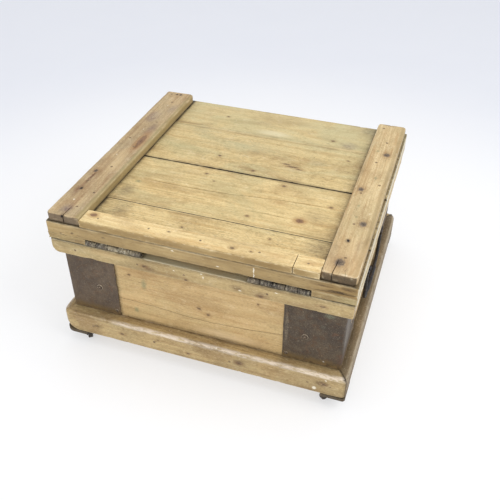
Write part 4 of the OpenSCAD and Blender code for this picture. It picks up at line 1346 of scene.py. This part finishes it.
def plinth_bend(grain, sign, bottom_z, top_z):
    """Bends a straight board round the outside corners and cuts its ends on the mitre."""
    out, inner = OUTER[1 - grain], WALL[1 - grain]
    length, inner_length = OUTER[grain], WALL[grain]
    straight = 0.86 * inner_length      # the bending starts here

    def bend(points, _):
        points = points.copy()
        depth = np.clip((points[:, 1 - grain] * sign - inner) / (out - inner), 0, 1)
        for end in (-1, 1):
            sides = (end, sign) if grain == X else (sign, end)
            radius = corner_radius(*sides)
            place = points[:, grain] * end
            share = np.clip((place - straight) / (length - straight), 0, None)
            beyond = place > straight
            run = (length - radius) - straight
            path = share * (run + radius * math.pi / 4)
            angle = np.clip((path - run) / radius, 0, math.pi / 4)
            outer_along = np.where(path < run, straight + path,
                                   length - radius + radius * np.sin(angle))
            outer_across = np.where(path < run, out, out - radius + radius * np.cos(angle))
            inner_along = straight + share * (inner_length - straight)
            along = inner_along * (1 - depth) + outer_along * depth
            across = inner * (1 - depth) + outer_across * depth
            # the outside corners are knocked round, most of all low down at the back right
            knock, rise = (11.0, 22) if sides == (1, 1) else (4.0, 10)
            z = points[:, Z]
            under = np.clip((bottom_z + rise - z) / rise, 0, 1)
            top = np.clip((z - (top_z - 10)) / 10.0, 0, 1)
            cut = smooth(share, 0.45, 1.0) * depth * (
                knock * (1 - np.sqrt(1 - np.clip(under, 0, 0.999) ** 2)) + 4.0 * top ** 2)
            points[:, grain] = np.where(beyond, (along - cut * 0.72) * end, points[:, grain])
            points[:, 1 - grain] = np.where(beyond, (across - cut * 0.72) * sign,
                                            points[:, 1 - grain])
        return points
    return bend


PLINTH_LOOKS = {
    "back_plinth": dict(
        seed=81.5,
        knots=through(Y, (170, 58, 5.0, 3.2), (20, 50, 4, 2.8), (-90, 60, 6.0, 2.8),
                      (-264, 62, 6.0, 2.6)),
        stains=on_back_plinth((-89, 61, 15, 9, rgb(66, 50, 36), 1.0),
                              (-262, 62, 17, 9, rgb(70, 54, 38), 0.95),
                              (230, 62, 10, 5, rgb(92, 70, 48), 0.8),
                              (-180, 54, 40, 10, rgb(150, 118, 76), 0.6),
                              (94, 60, 6, 3, rgb(110, 84, 56), 0.7),
                              (87, 66, 5, 3, rgb(92, 70, 48), 0.7),
                              (0, 40, 300, 7, rgb(150, 124, 86), 0.4)),
        pale=marks(Y, 295, 6, (-246, 46, 4.5, 5)) + marks(Y, 292, 8, (-268, 74, 2.5, 2.5))
        + marks(Y, 295, 6, (-41, 84, 2, 2))),
    "front_plinth": dict(seed=84.2, knots=through(Y, (-60, 60, 4, 3), (210, 54, 3.4, 3))),
    "left_plinth": dict(seed=87.8, knots=through(X, (100, 60, 4, 3))),
    "right_plinth": dict(seed=89.4, knots=through(X, (-130, 56, 4, 3))),
}
PLINTH_TONES = dict(tones=(rgb(193, 168, 118), rgb(150, 118, 75), rgb(158, 141, 102)),
                    worn=rgb(226, 210, 188))
# painted shade: the left plinth is given darker, greyer tones for its shaded side
SHADED_LEFT_PLINTH_TONES = dict(tones=(rgb(136, 116, 85), rgb(98, 80, 57), rgb(122, 112, 86)),
                         worn=rgb(190, 174, 148))


def plinth(node, look):
    cad = box_mm(node)
    grain = long_axis(node)
    thick = 1 - grain
    sign = 1 if node in ("back_plinth", "right_plinth") else -1
    out, inner = OUTER[thick], WALL[thick]
    low, high = np.zeros(3), np.zeros(3)
    low[Z], high[Z] = cad[0][Z], cad[1][Z]
    low[grain], high[grain] = -OUTER[grain], OUTER[grain]
    low[thick], high[thick] = (inner, out) if sign > 0 else (-out, -inner)
    wood = pine(node + "_wood", grain, thick, (low + high) / 2, mottling=0.55, wear=0.9,
                dirt=1.0, rings=220.0, pith=55.0 * sign, ends=rgb(110, 86, 60),
                **(SHADED_LEFT_PLINTH_TONES if node == "left_plinth" else PLINTH_TONES), **look)

    # dirt and painted shade on the top ledge along the walls, reaching further on the left
    # plinth, and darker towards the bottom
    def grime(points):
        far = 15.0 if node == "left_plinth" else 6.5
        z = points[:, Z]
        ledge = 0.85 * smooth(np.abs(points[:, thick]), inner + far, inner + 0.5)
        return (np.where(z > high[Z] - 1, ledge, 0.0)
                + 0.3 * smooth(z, low[Z] + 6, low[Z]))

    def rub(points):
        """Wear along the upper outside edge."""
        from_face = out - np.abs(points[:, thick])
        from_top = high[Z] - points[:, Z]
        if node == "left_plinth":
            return 0.6 * smooth(from_face, 3.6, 1.4) * smooth(from_top, 12.0, 6.0)
        if node == "back_plinth":
            span = smooth(points[:, X], 205, 165)
        else:
            span = 0.5 + 0.5 * fbm(points / 60.0, 9)
        return (smooth(from_face, 9.0, 6.0) * smooth(from_top, 9.0, 5.0)
                * np.clip(span, 0, 1))
    outer_face = ("+" if sign > 0 else "-") + "xyz"[thick]
    # the mitre at the back right has stayed nearly closed
    mitres = tuple(0.12 if end > 0 and sign > 0 else 0.85 for end in (-1, 1))
    make(node, board(low, high, grain, edges={outer_face + "+z": 10.0, outer_face + "-z": 3.0},
                     radius=0.8, step=(5, 3.5), seed=int(look["seed"] * 10), grime=grime,
                     bend=plinth_bend(grain, sign, low[Z], high[Z]), chips=1.3, rub=rub,
                     mitres=mitres), wood)


for node, look in PLINTH_LOOKS.items():
    plinth(node, look)


# ---------------------------------------------------------------- castor blocks
def castor_blocks(node="castor_blocks"):
    parts = []
    for i, (low, high) in enumerate(islands(node)):
        side_x, side_y = sign_of(low[X]), sign_of(low[Y])
        corner = ("+" if side_x > 0 else "-") + "x" + ("+" if side_y > 0 else "-") + "y"
        parts.append(board(low, high, Y, radius=0.9, step=(5, 4), seed=601 + i,
                           rounded={corner: corner_radius(side_x, side_y)}))
    # the near-black tones are dirt and painted shade under the chest
    wood = pine(node + "_wood", Y, Z, centre=(0, 0, 30), seed=93.1, mottling=0.5, dirt=1.0,
                tones=(rgb(84, 74, 56), rgb(54, 46, 34), rgb(70, 68, 52)), wear=0.3,
                worn=rgb(134, 118, 90), ends=rgb(78, 70, 54), end_dark=0.7)
    make(node, join(parts), wood)


castor_blocks()

# ---------------------------------------------------------------- corner irons
IRON_THICKNESS = 2.5
IRON_BEND = 4.2                 # outside radius of the bend
IRON_SEEDS = {"corner_iron_front_left": 711, "corner_iron_front_right": 723,
              "corner_iron_back_left": 737, "corner_iron_back_right": 749}
IRON_TONES = dict(base=rgb(100, 84, 66), dark=rgb(80, 66, 52), rust=rgb(108, 78, 50),
                  light=rgb(132, 114, 90))
BACK_LEFT_TONES = dict(base=rgb(88, 74, 56), dark=rgb(66, 54, 42), rust=rgb(102, 70, 46),
                       light=rgb(134, 120, 96))
BACK_LEFT_SPOTS = [         # (centre, radii, colour, strength)
    ((-258, 271, 220), (13, 20, 6), rgb(124, 132, 108), 0.62),
    ((-248, 271, 190), (6, 20, 6), rgb(112, 116, 98), 0.30),
    ((-205, 271, 200), (9, 20, 6), rgb(104, 104, 96), 0.3),
    ((-285, 255, 110), (10, 40, 22), rgb(104, 68, 48), 0.40),
    ((-290, 240, 176), (6, 40, 60), rgb(142, 138, 128), 0.42),
    ((-178, 271, 165), (4, 20, 50), rgb(150, 136, 112), 0.5),
    ((-255, 271, 98), (2, 20, 1.5), rgb(220, 214, 200), 0.9),
]


def corner_iron(node, seed):
    """One strip, laid out flat as (place along, depth, Z) and bent round the corner."""
    low, high = box_mm(node)
    side_x, side_y = sign_of(low[X] + high[X]), sign_of(low[Y] + high[Y])
    centre_x = max(high[X], -low[X]) - IRON_BEND
    centre_y = max(high[Y], -low[Y]) - IRON_BEND
    half_arc = IRON_BEND * math.pi / 4
    flat_low = [-(high[Y] - low[Y] - IRON_BEND + half_arc), 0.0, low[Z]]
    flat_high = [high[X] - low[X] - IRON_BEND + half_arc, IRON_THICKNESS, high[Z]]

    def bend(points, base):
        along, depth, z = points.T
        # ragged outline: the free edges wander inwards a little
        ragged_end = 1.6 * (0.5 + 0.5 * wander(base[:, 2] / 16.0, y=seed * 0.1, seed=seed))
        ragged_side = 1.3 * (0.5 + 0.5 * wander(base[:, 0] / 22.0, z=seed * 0.3,
                                                seed=seed + 5))
        along = along + ragged_end * (
            smooth(base[:, 0], flat_low[0] + 22, flat_low[0])
            - smooth(base[:, 0], flat_high[0] - 22, flat_high[0]))
        z = z + ragged_side * (smooth(base[:, 2], flat_low[2] + 16, flat_low[2])
                               - smooth(base[:, 2], flat_high[2] - 16, flat_high[2]))
        # shallow dents towards the wood, on the outside only
        dents = 0.35 * smooth(wander(along / 24.0, z / 24.0, seed=seed + 9), 0.1, 0.7)
        depth = depth - np.where(depth > IRON_THICKNESS * 0.5, dents, 0)
        radius = IRON_BEND - IRON_THICKNESS + depth
        angle = math.pi / 4 - np.clip(along / half_arc, -1, 1) * (math.pi / 4)
        x = np.where(along > half_arc, centre_x - (along - half_arc),
                     centre_x + radius * np.sin(angle))
        y = np.where(along < -half_arc, centre_y + (along + half_arc),
                     centre_y + radius * np.cos(angle))
        return np.c_[x * side_x, y * side_y, z]

    inner_x = max(low[X], -high[X])
    # the band along X is a painted shadow: a dark line along the free end of the leg that runs
    # along X
    bands = [(Z, 108, 92, rgb(112, 90, 52), 0.90), (Z, 92, 87, rgb(134, 108, 72), 0.7),
             (X, side_x * (inner_x + 2.6), side_x * (inner_x + 0.9), rgb(40, 32, 26), 0.85)]
    back_left = node == "corner_iron_back_left"
    metal = iron(node + "_metal", seed=seed * 0.13, metal=0.22, rough=(0.50, 0.74),
                 rusty=0.42, pitting=0.6, bands=bands, edges=True, fineness=0.8,
                 spots=BACK_LEFT_SPOTS if back_left else (),
                 **(BACK_LEFT_TONES if back_left else IRON_TONES))
    points, faces, attributes = board(flat_low, flat_high, X, radius=0.8, step=(4, 4),
                                      seed=seed, wave=0.05, wear=0.2, chips=0.5, bend=bend)
    if side_x * side_y > 0:
        faces = faces[:, ::-1]
    make(node, (points, faces, attributes), metal)


for node, seed in IRON_SEEDS.items():
    corner_iron(node, seed)

# ---------------------------------------------------------------- screw heads in the corner irons
# (share of the head's radius, share of its height), from the crown out to the rim
HEAD_PROFILE = [(0.25, 0.97), (0.5, 0.86), (0.68, 0.66), (0.76, 0.42), (0.80, 0.34),
                (0.85, 0.42), (0.93, 0.40), (0.985, 0.22), (1.0, 0.0)]
HEAD_SINK = -0.3                # the rim goes this far below the face
HEAD_SEGMENTS = 28


def screw_head(centre, axis, sign, radius, height, slot_angle, seed):
    """A turned, domed head with a sunk ring near its rim and a worn slot."""
    rows = [(share * radius, rise * height) for share, rise in HEAD_PROFILE]
    rows.append((radius, HEAD_SINK))
    turns = [2 * math.pi * k / HEAD_SEGMENTS for k in range(HEAD_SEGMENTS)]
    local = np.array([(0.0, 0.0, height)] + [
        (r * math.cos(turn), r * math.sin(turn), z) for r, z in rows for turn in turns])
    x, y, z = local.T
    from_slot = np.abs(x * math.sin(slot_angle) - y * math.cos(slot_angle))
    local[:, 2] -= (smooth(from_slot, 0.16 * radius, 0.05 * radius) * height * 0.40
                    * (np.hypot(x, y) < 0.74 * radius))
    local[:, 2] -= (0.10 * height * (0.5 + 0.5 * noise(local * 0.9 + seed * 3.7, seed))
                    * (local[:, 2] > 0.05))
    faces = []
    for k in range(HEAD_SEGMENTS):
        after = (k + 1) % HEAD_SEGMENTS
        faces.append((0, 1 + k, 1 + after, 1 + after))
    for i in range(len(rows) - 1):
        ring, outer = 1 + i * HEAD_SEGMENTS, 1 + (i + 1) * HEAD_SEGMENTS
        for k in range(HEAD_SEGMENTS):
            after = (k + 1) % HEAD_SEGMENTS
            faces.append((ring + k, outer + k, outer + after, ring + after))
    faces = np.array(faces)
    points = np.zeros_like(local)
    across = [other for other in range(3) if other != axis]
    points[:, axis] = local[:, 2] * sign
    points[:, across[0]] = local[:, 0]
    points[:, across[1]] = local[:, 1]
    points += np.array(centre)
    if sign * (1 if axis in (X, Z) else -1) < 0:
        faces = faces[:, ::-1]
    count = len(local)
    return points, faces, {
        "edge": np.ones(count), "chip": np.zeros(count),
        "ringd": np.clip(np.hypot(local[:, 0], local[:, 1]) / radius, 0, 1)}


def screw_head_metal(name, seed=3.3):
    """Brown metal with a dark sunk ring, a painted highlight on the rim and a rubbed crown."""
    base, dark, light = rgb(104, 88, 72), rgb(70, 58, 48), rgb(186, 170, 146)
    metal = Shader(name, base)
    shifted = metal.vector("ADD", metal.place, [seed, seed * 0.7, seed * 1.3])
    patches = metal.noise(metal.scale(shifted, 420.0), detail=4, rough=0.7)
    grains = metal.noise(metal.scale(shifted, 1300.0), detail=3, rough=0.7)
    ring = metal.attribute("ringd")
    metal.tint(patches, span=(0.35, 0.65), colour=dark)
    metal.tint(grains, span=(0.55, 0.75), amount=0.6, colour=rgb(110, 78, 52))
    groove = metal.times(metal.ease(ring, span=(0.70, 0.79)),
                         metal.ease(ring, span=(0.90, 0.82)))
    metal.paint(metal.times(groove, 0.9), rgb(34, 28, 24))
    # painted highlight round the rim
    metal.paint(metal.times(metal.ease(ring, span=(0.84, 0.92)),
                            metal.ease(patches, span=(0.3, 0.55), to=(0.35, 0.95))), light)
    metal.paint(metal.times(metal.ease(ring, span=(0.45, 0.1)), 0.35), light)
    metal.height = metal.plus(patches, metal.times(grains, 0.5))
    return metal.finish(metal.ease(patches, span=(0.3, 0.7), to=(0.30, 0.55)), bump=0.5,
                        distance=0.0004, metal=0.65, specular=0.5)


def corner_screw_heads(node="corner_iron_screws"):
    metal = screw_head_metal("corner_screw_heads_metal")
    parts = []
    for i, (low, high) in enumerate(islands(node)):
        centre, size = (low + high) / 2, high - low
        axis = int(np.argmax(size))         # the shank runs along the longest side
        sign = sign_of(centre[axis])
        radius = (size[(axis + 1) % 3] + size[(axis + 2) % 3]) / 4
        face = WALL[X if axis == X else Y] + IRON_THICKNESS + 0.05
        top = high[axis] if sign > 0 else -low[axis]
        centre[axis] = sign * face
        parts.append(screw_head(centre, axis, sign, radius, height=max(0.8, top - face),
                                slot_angle=0.7 + 1.9 * i, seed=i))
    make(node, join(parts), metal, name="corner_iron_screw_heads")


corner_screw_heads()


# ---------------------------------------------------------------- CAD metal parts
def pitted_skin(node, voxel, depth, size):
    """Rebuilds a part on a fine grid and pushes it inwards only, as if cast or forged."""
    grid = NODES[node].modifiers.new("fine_grid", "REMESH")
    grid.mode = "VOXEL"
    grid.voxel_size = voxel * MM
    grid.use_smooth_shade = True
    clouds = bpy.data.textures.new(node + "_pits", "CLOUDS")
    clouds.noise_scale = size * MM
    clouds.noise_depth = 2
    pits = NODES[node].modifiers.new("pits", "DISPLACE")
    pits.texture = clouds
    pits.texture_coords = "LOCAL"
    pits.strength = depth * MM
    pits.mid_level = 1.0


for node in NODES:
    if node.startswith("hinge_leaf"):
        pitted_skin(node, voxel=0.9, depth=0.9, size=4.5)
    elif node.startswith("handle_bail"):
        pitted_skin(node, voxel=1.0, depth=0.7, size=9.0)

# name, seed, then base, dark, rust and light tones
# the two hinges get a pale and a dark copy of one pitted steel, painted light and painted shade,
# and the near-white light tone paints highlights
hinge_painted_lit = iron("hinge_steel_painted_lit", 7.7, rgb(150, 136, 106), rgb(58, 50, 40),
                  rgb(104, 82, 56), rgb(248, 240, 212), metal=0.20, rough=(0.34, 0.60),
                  rusty=0.45, pitting=1.3, fineness=1.25, ribs=0.30)
hinge_painted_shade = iron("hinge_steel_painted_shade", 5.1, rgb(112, 100, 80), rgb(44, 38, 32),
                  rgb(84, 66, 48), rgb(196, 186, 160), metal=0.30, rough=(0.32, 0.58),
                  rusty=0.40, pitting=1.3, fineness=1.25, ribs=0.38)
pin_steel = iron("hinge_pin_steel", 9.1, rgb(92, 84, 72), rgb(60, 54, 48), rgb(98, 72, 50),
                 rgb(170, 160, 140), metal=0.6, rough=(0.38, 0.6), rusty=0.4, fineness=1.4)
black_iron = iron("black_iron", 12.3, rgb(44, 40, 38), rgb(28, 26, 26), rgb(78, 54, 40),
                  rgb(96, 88, 78), metal=0.4, rough=(0.42, 0.66), rusty=0.35, pitting=0.7,
                  fineness=1.1)
castor_iron = iron("castor_iron_worn", 15.9, rgb(58, 52, 48), rgb(36, 32, 30),
                   rgb(88, 62, 44), rgb(120, 110, 98), metal=0.45, rough=(0.40, 0.68),
                   rusty=0.5, pitting=0.8, fineness=1.6)
wheel_iron = iron("castor_wheel_iron", 18.2, rgb(84, 76, 68), rgb(50, 45, 40),
                  rgb(96, 70, 48), rgb(150, 140, 126), metal=0.5, rough=(0.36, 0.62),
                  rusty=0.45, pitting=0.8, fineness=1.8)
screw_iron = iron("screw_head_iron", 21.4, rgb(98, 84, 70), rgb(66, 56, 48),
                  rgb(104, 76, 52), rgb(176, 160, 134), metal=0.62, rough=(0.34, 0.56),
                  rusty=0.35, pitting=0.6, fineness=1.6)
nail_iron = iron("nail_iron_dark", 24.8, rgb(150, 126, 90), rgb(112, 90, 62),
                 rgb(134, 100, 64), rgb(178, 158, 122), metal=0.15, rough=(0.5, 0.75),
                 rusty=0.6, pitting=0.8, fineness=2.0)


def metal_for(node):
    if node.startswith("hinge_leaf"):
        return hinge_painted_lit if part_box(node)[0][X] > 0 else hinge_painted_shade
    if node == "hinge_pins":
        return pin_steel
    if node.startswith("hinge_screws"):
        return screw_iron
    if node in ("carcass_nails", "lid_nails"):
        return nail_iron
    if node.startswith("handle"):
        return black_iron
    if node.startswith("castor_wheel"):
        return wheel_iron
    if node.startswith("castor") and node != "castor_blocks":
        return castor_iron
    return None


for node, part in NODES.items():
    metal = metal_for(node)
    if metal:
        for slot in part.material_slots:
            slot.material = metal


# ---------------------------------------------------------------- camera, metres and radians
def add_camera(place, yaw, pitch, roll, lens):
    """A camera that at zero angles looks along -Y; pitch tips it down."""
    forward = Vector((math.sin(yaw) * math.cos(pitch), -math.cos(yaw) * math.cos(pitch),
                      -math.sin(pitch)))
    level = Vector((-math.cos(yaw), -math.sin(yaw), 0))
    upright = level.cross(forward)
    right = level * math.cos(roll) + upright * math.sin(roll)
    up = upright * math.cos(roll) - level * math.sin(roll)
    data = bpy.data.cameras.new("camera")
    camera = bpy.data.objects.new("camera", data)
    bpy.context.scene.collection.objects.link(camera)
    data.sensor_width = 36.0
    data.lens = lens
    data.clip_start, data.clip_end = 0.02, 50
    rows = [(right[i], up[i], -forward[i], place[i]) for i in range(3)]
    camera.matrix_world = Matrix((*rows, (0, 0, 0, 1)))
    bpy.context.scene.camera = camera


add_camera(place=(-0.3905, 1.1373, 1.0558), yaw=0.319519, pitch=0.668575, roll=0.008007,
           lens=47.386)


# ---------------------------------------------------------------- paper sweep
def paper():
    """Near-white paper that glows a little and is see-through from below."""
    sheet = Shader("paper", rgb(250, 250, 250))
    distance = sheet.vector("LENGTH", sheet.vector("MULTIPLY", sheet.place, [1, 1, 0]))
    sheet.tint(distance, span=(0.55, 1.5), colour=rgb(231, 233, 239))
    sheet.tint(sheet.noise(sheet.scale(sheet.place, 5.0)), span=(0.3, 0.7), amount=0.05,
               colour=rgb(244, 245, 248))
    glow = sheet.colour
    sheet.colour = sheet.mix(1.0, glow, [0.46, 0.46, 0.46, 1.0], "MULTIPLY")
    sheet.height = sheet.noise(sheet.scale(sheet.place, 300.0))
    sheet.finish(rough=0.9, bump=0.04, distance=0.0004, specular=0.1)
    sheet.put(sheet.principled.inputs["Emission Color"], glow)
    sheet.put(sheet.principled.inputs["Emission Strength"], 0.56)
    sheet.put(sheet.output.inputs[0], sheet.node("MixShader", (
        sheet.node("NewGeometry", output="Backfacing"), sheet.principled.outputs[0],
        sheet.node("BsdfTransparent"))))
    return sheet.material


def paper_sweep():
    """A round sheet, flat under the chest and curving up far from it on every side."""
    segments, flat, bend, wall_top = 96, 2.4, 1.4, 4.5
    drop = 0.0003               # the outer rings lie this far below Z = 0
    profile = [(0.5, 0.0), (1.0, 0.0), (1.6, 0.0), (flat, 0.0)]
    profile += [(flat + bend * math.sin(angle), bend - bend * math.cos(angle))
                for angle in np.linspace(0.12, math.pi / 2, 12)]
    profile.append((flat + bend, wall_top))
    turns = [2 * math.pi * k / segments for k in range(segments)]
    points = [(0.0, 0.0, 0.0)] + [
        (radius * math.cos(turn), radius * math.sin(turn), z - drop)
        for radius, z in profile for turn in turns]
    faces = [(0, 1 + k, 1 + (k + 1) % segments) for k in range(segments)]
    for i in range(len(profile) - 1):
        inner, outer = 1 + i * segments, 1 + (i + 1) * segments
        for k in range(segments):
            after = (k + 1) % segments
            faces.append((inner + k, outer + k, outer + after, inner + after))
    mesh = bpy.data.meshes.new("floor")
    mesh.from_pydata(points, [], faces)
    mesh.polygons.foreach_set("use_smooth", np.ones(len(faces), bool))
    floor = bpy.data.objects.new("floor", mesh)
    bpy.context.scene.collection.objects.link(floor)
    mesh.materials.append(paper())
    floor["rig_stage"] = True


paper_sweep()

# ---------------------------------------------------------------- light
world = bpy.data.worlds.new("studio")
bpy.context.scene.world = world
world.use_nodes = True
background = world.node_tree.nodes["Background"]
background.inputs["Color"].default_value = (0.975, 0.985, 1.0, 1)
background.inputs["Strength"].default_value = 0.635


def disk_light(name, place, target, size, power, colour):
    data = bpy.data.lights.new(name, "AREA")
    data.shape = "DISK"
    data.size = size
    data.energy = power
    data.color = colour
    light = bpy.data.objects.new(name, data)
    bpy.context.scene.collection.objects.link(light)
    light.location = place
    light.rotation_mode = "QUATERNION"
    light.rotation_quaternion = (Vector(target) - Vector(place)).to_track_quat("-Z", "Y")


disk_light("key", place=(-1.7, 0.25, 2.0), target=(0, 0, 0.2), size=1.7, power=24.5,
           colour=(1.0, 0.985, 0.96))
disk_light("front", place=(0.1, 2.7, 1.05), target=(0, 0, 0.15), size=1.8, power=17.6,
           colour=(1.0, 0.99, 0.97))
disk_light("fill", place=(2.1, 1.3, 1.3), target=(0, 0, 0.1), size=1.8, power=5.4,
           colour=(1.0, 1.0, 1.0))
disk_light("top", place=(0.2, -0.5, 2.6), target=(0, 0, 0.2), size=2.0, power=11.0,
           colour=(0.97, 0.985, 1.0))
bpy.context.scene.view_settings.view_transform = "Standard"
bpy.context.scene.view_settings.look = "None"

low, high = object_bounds()
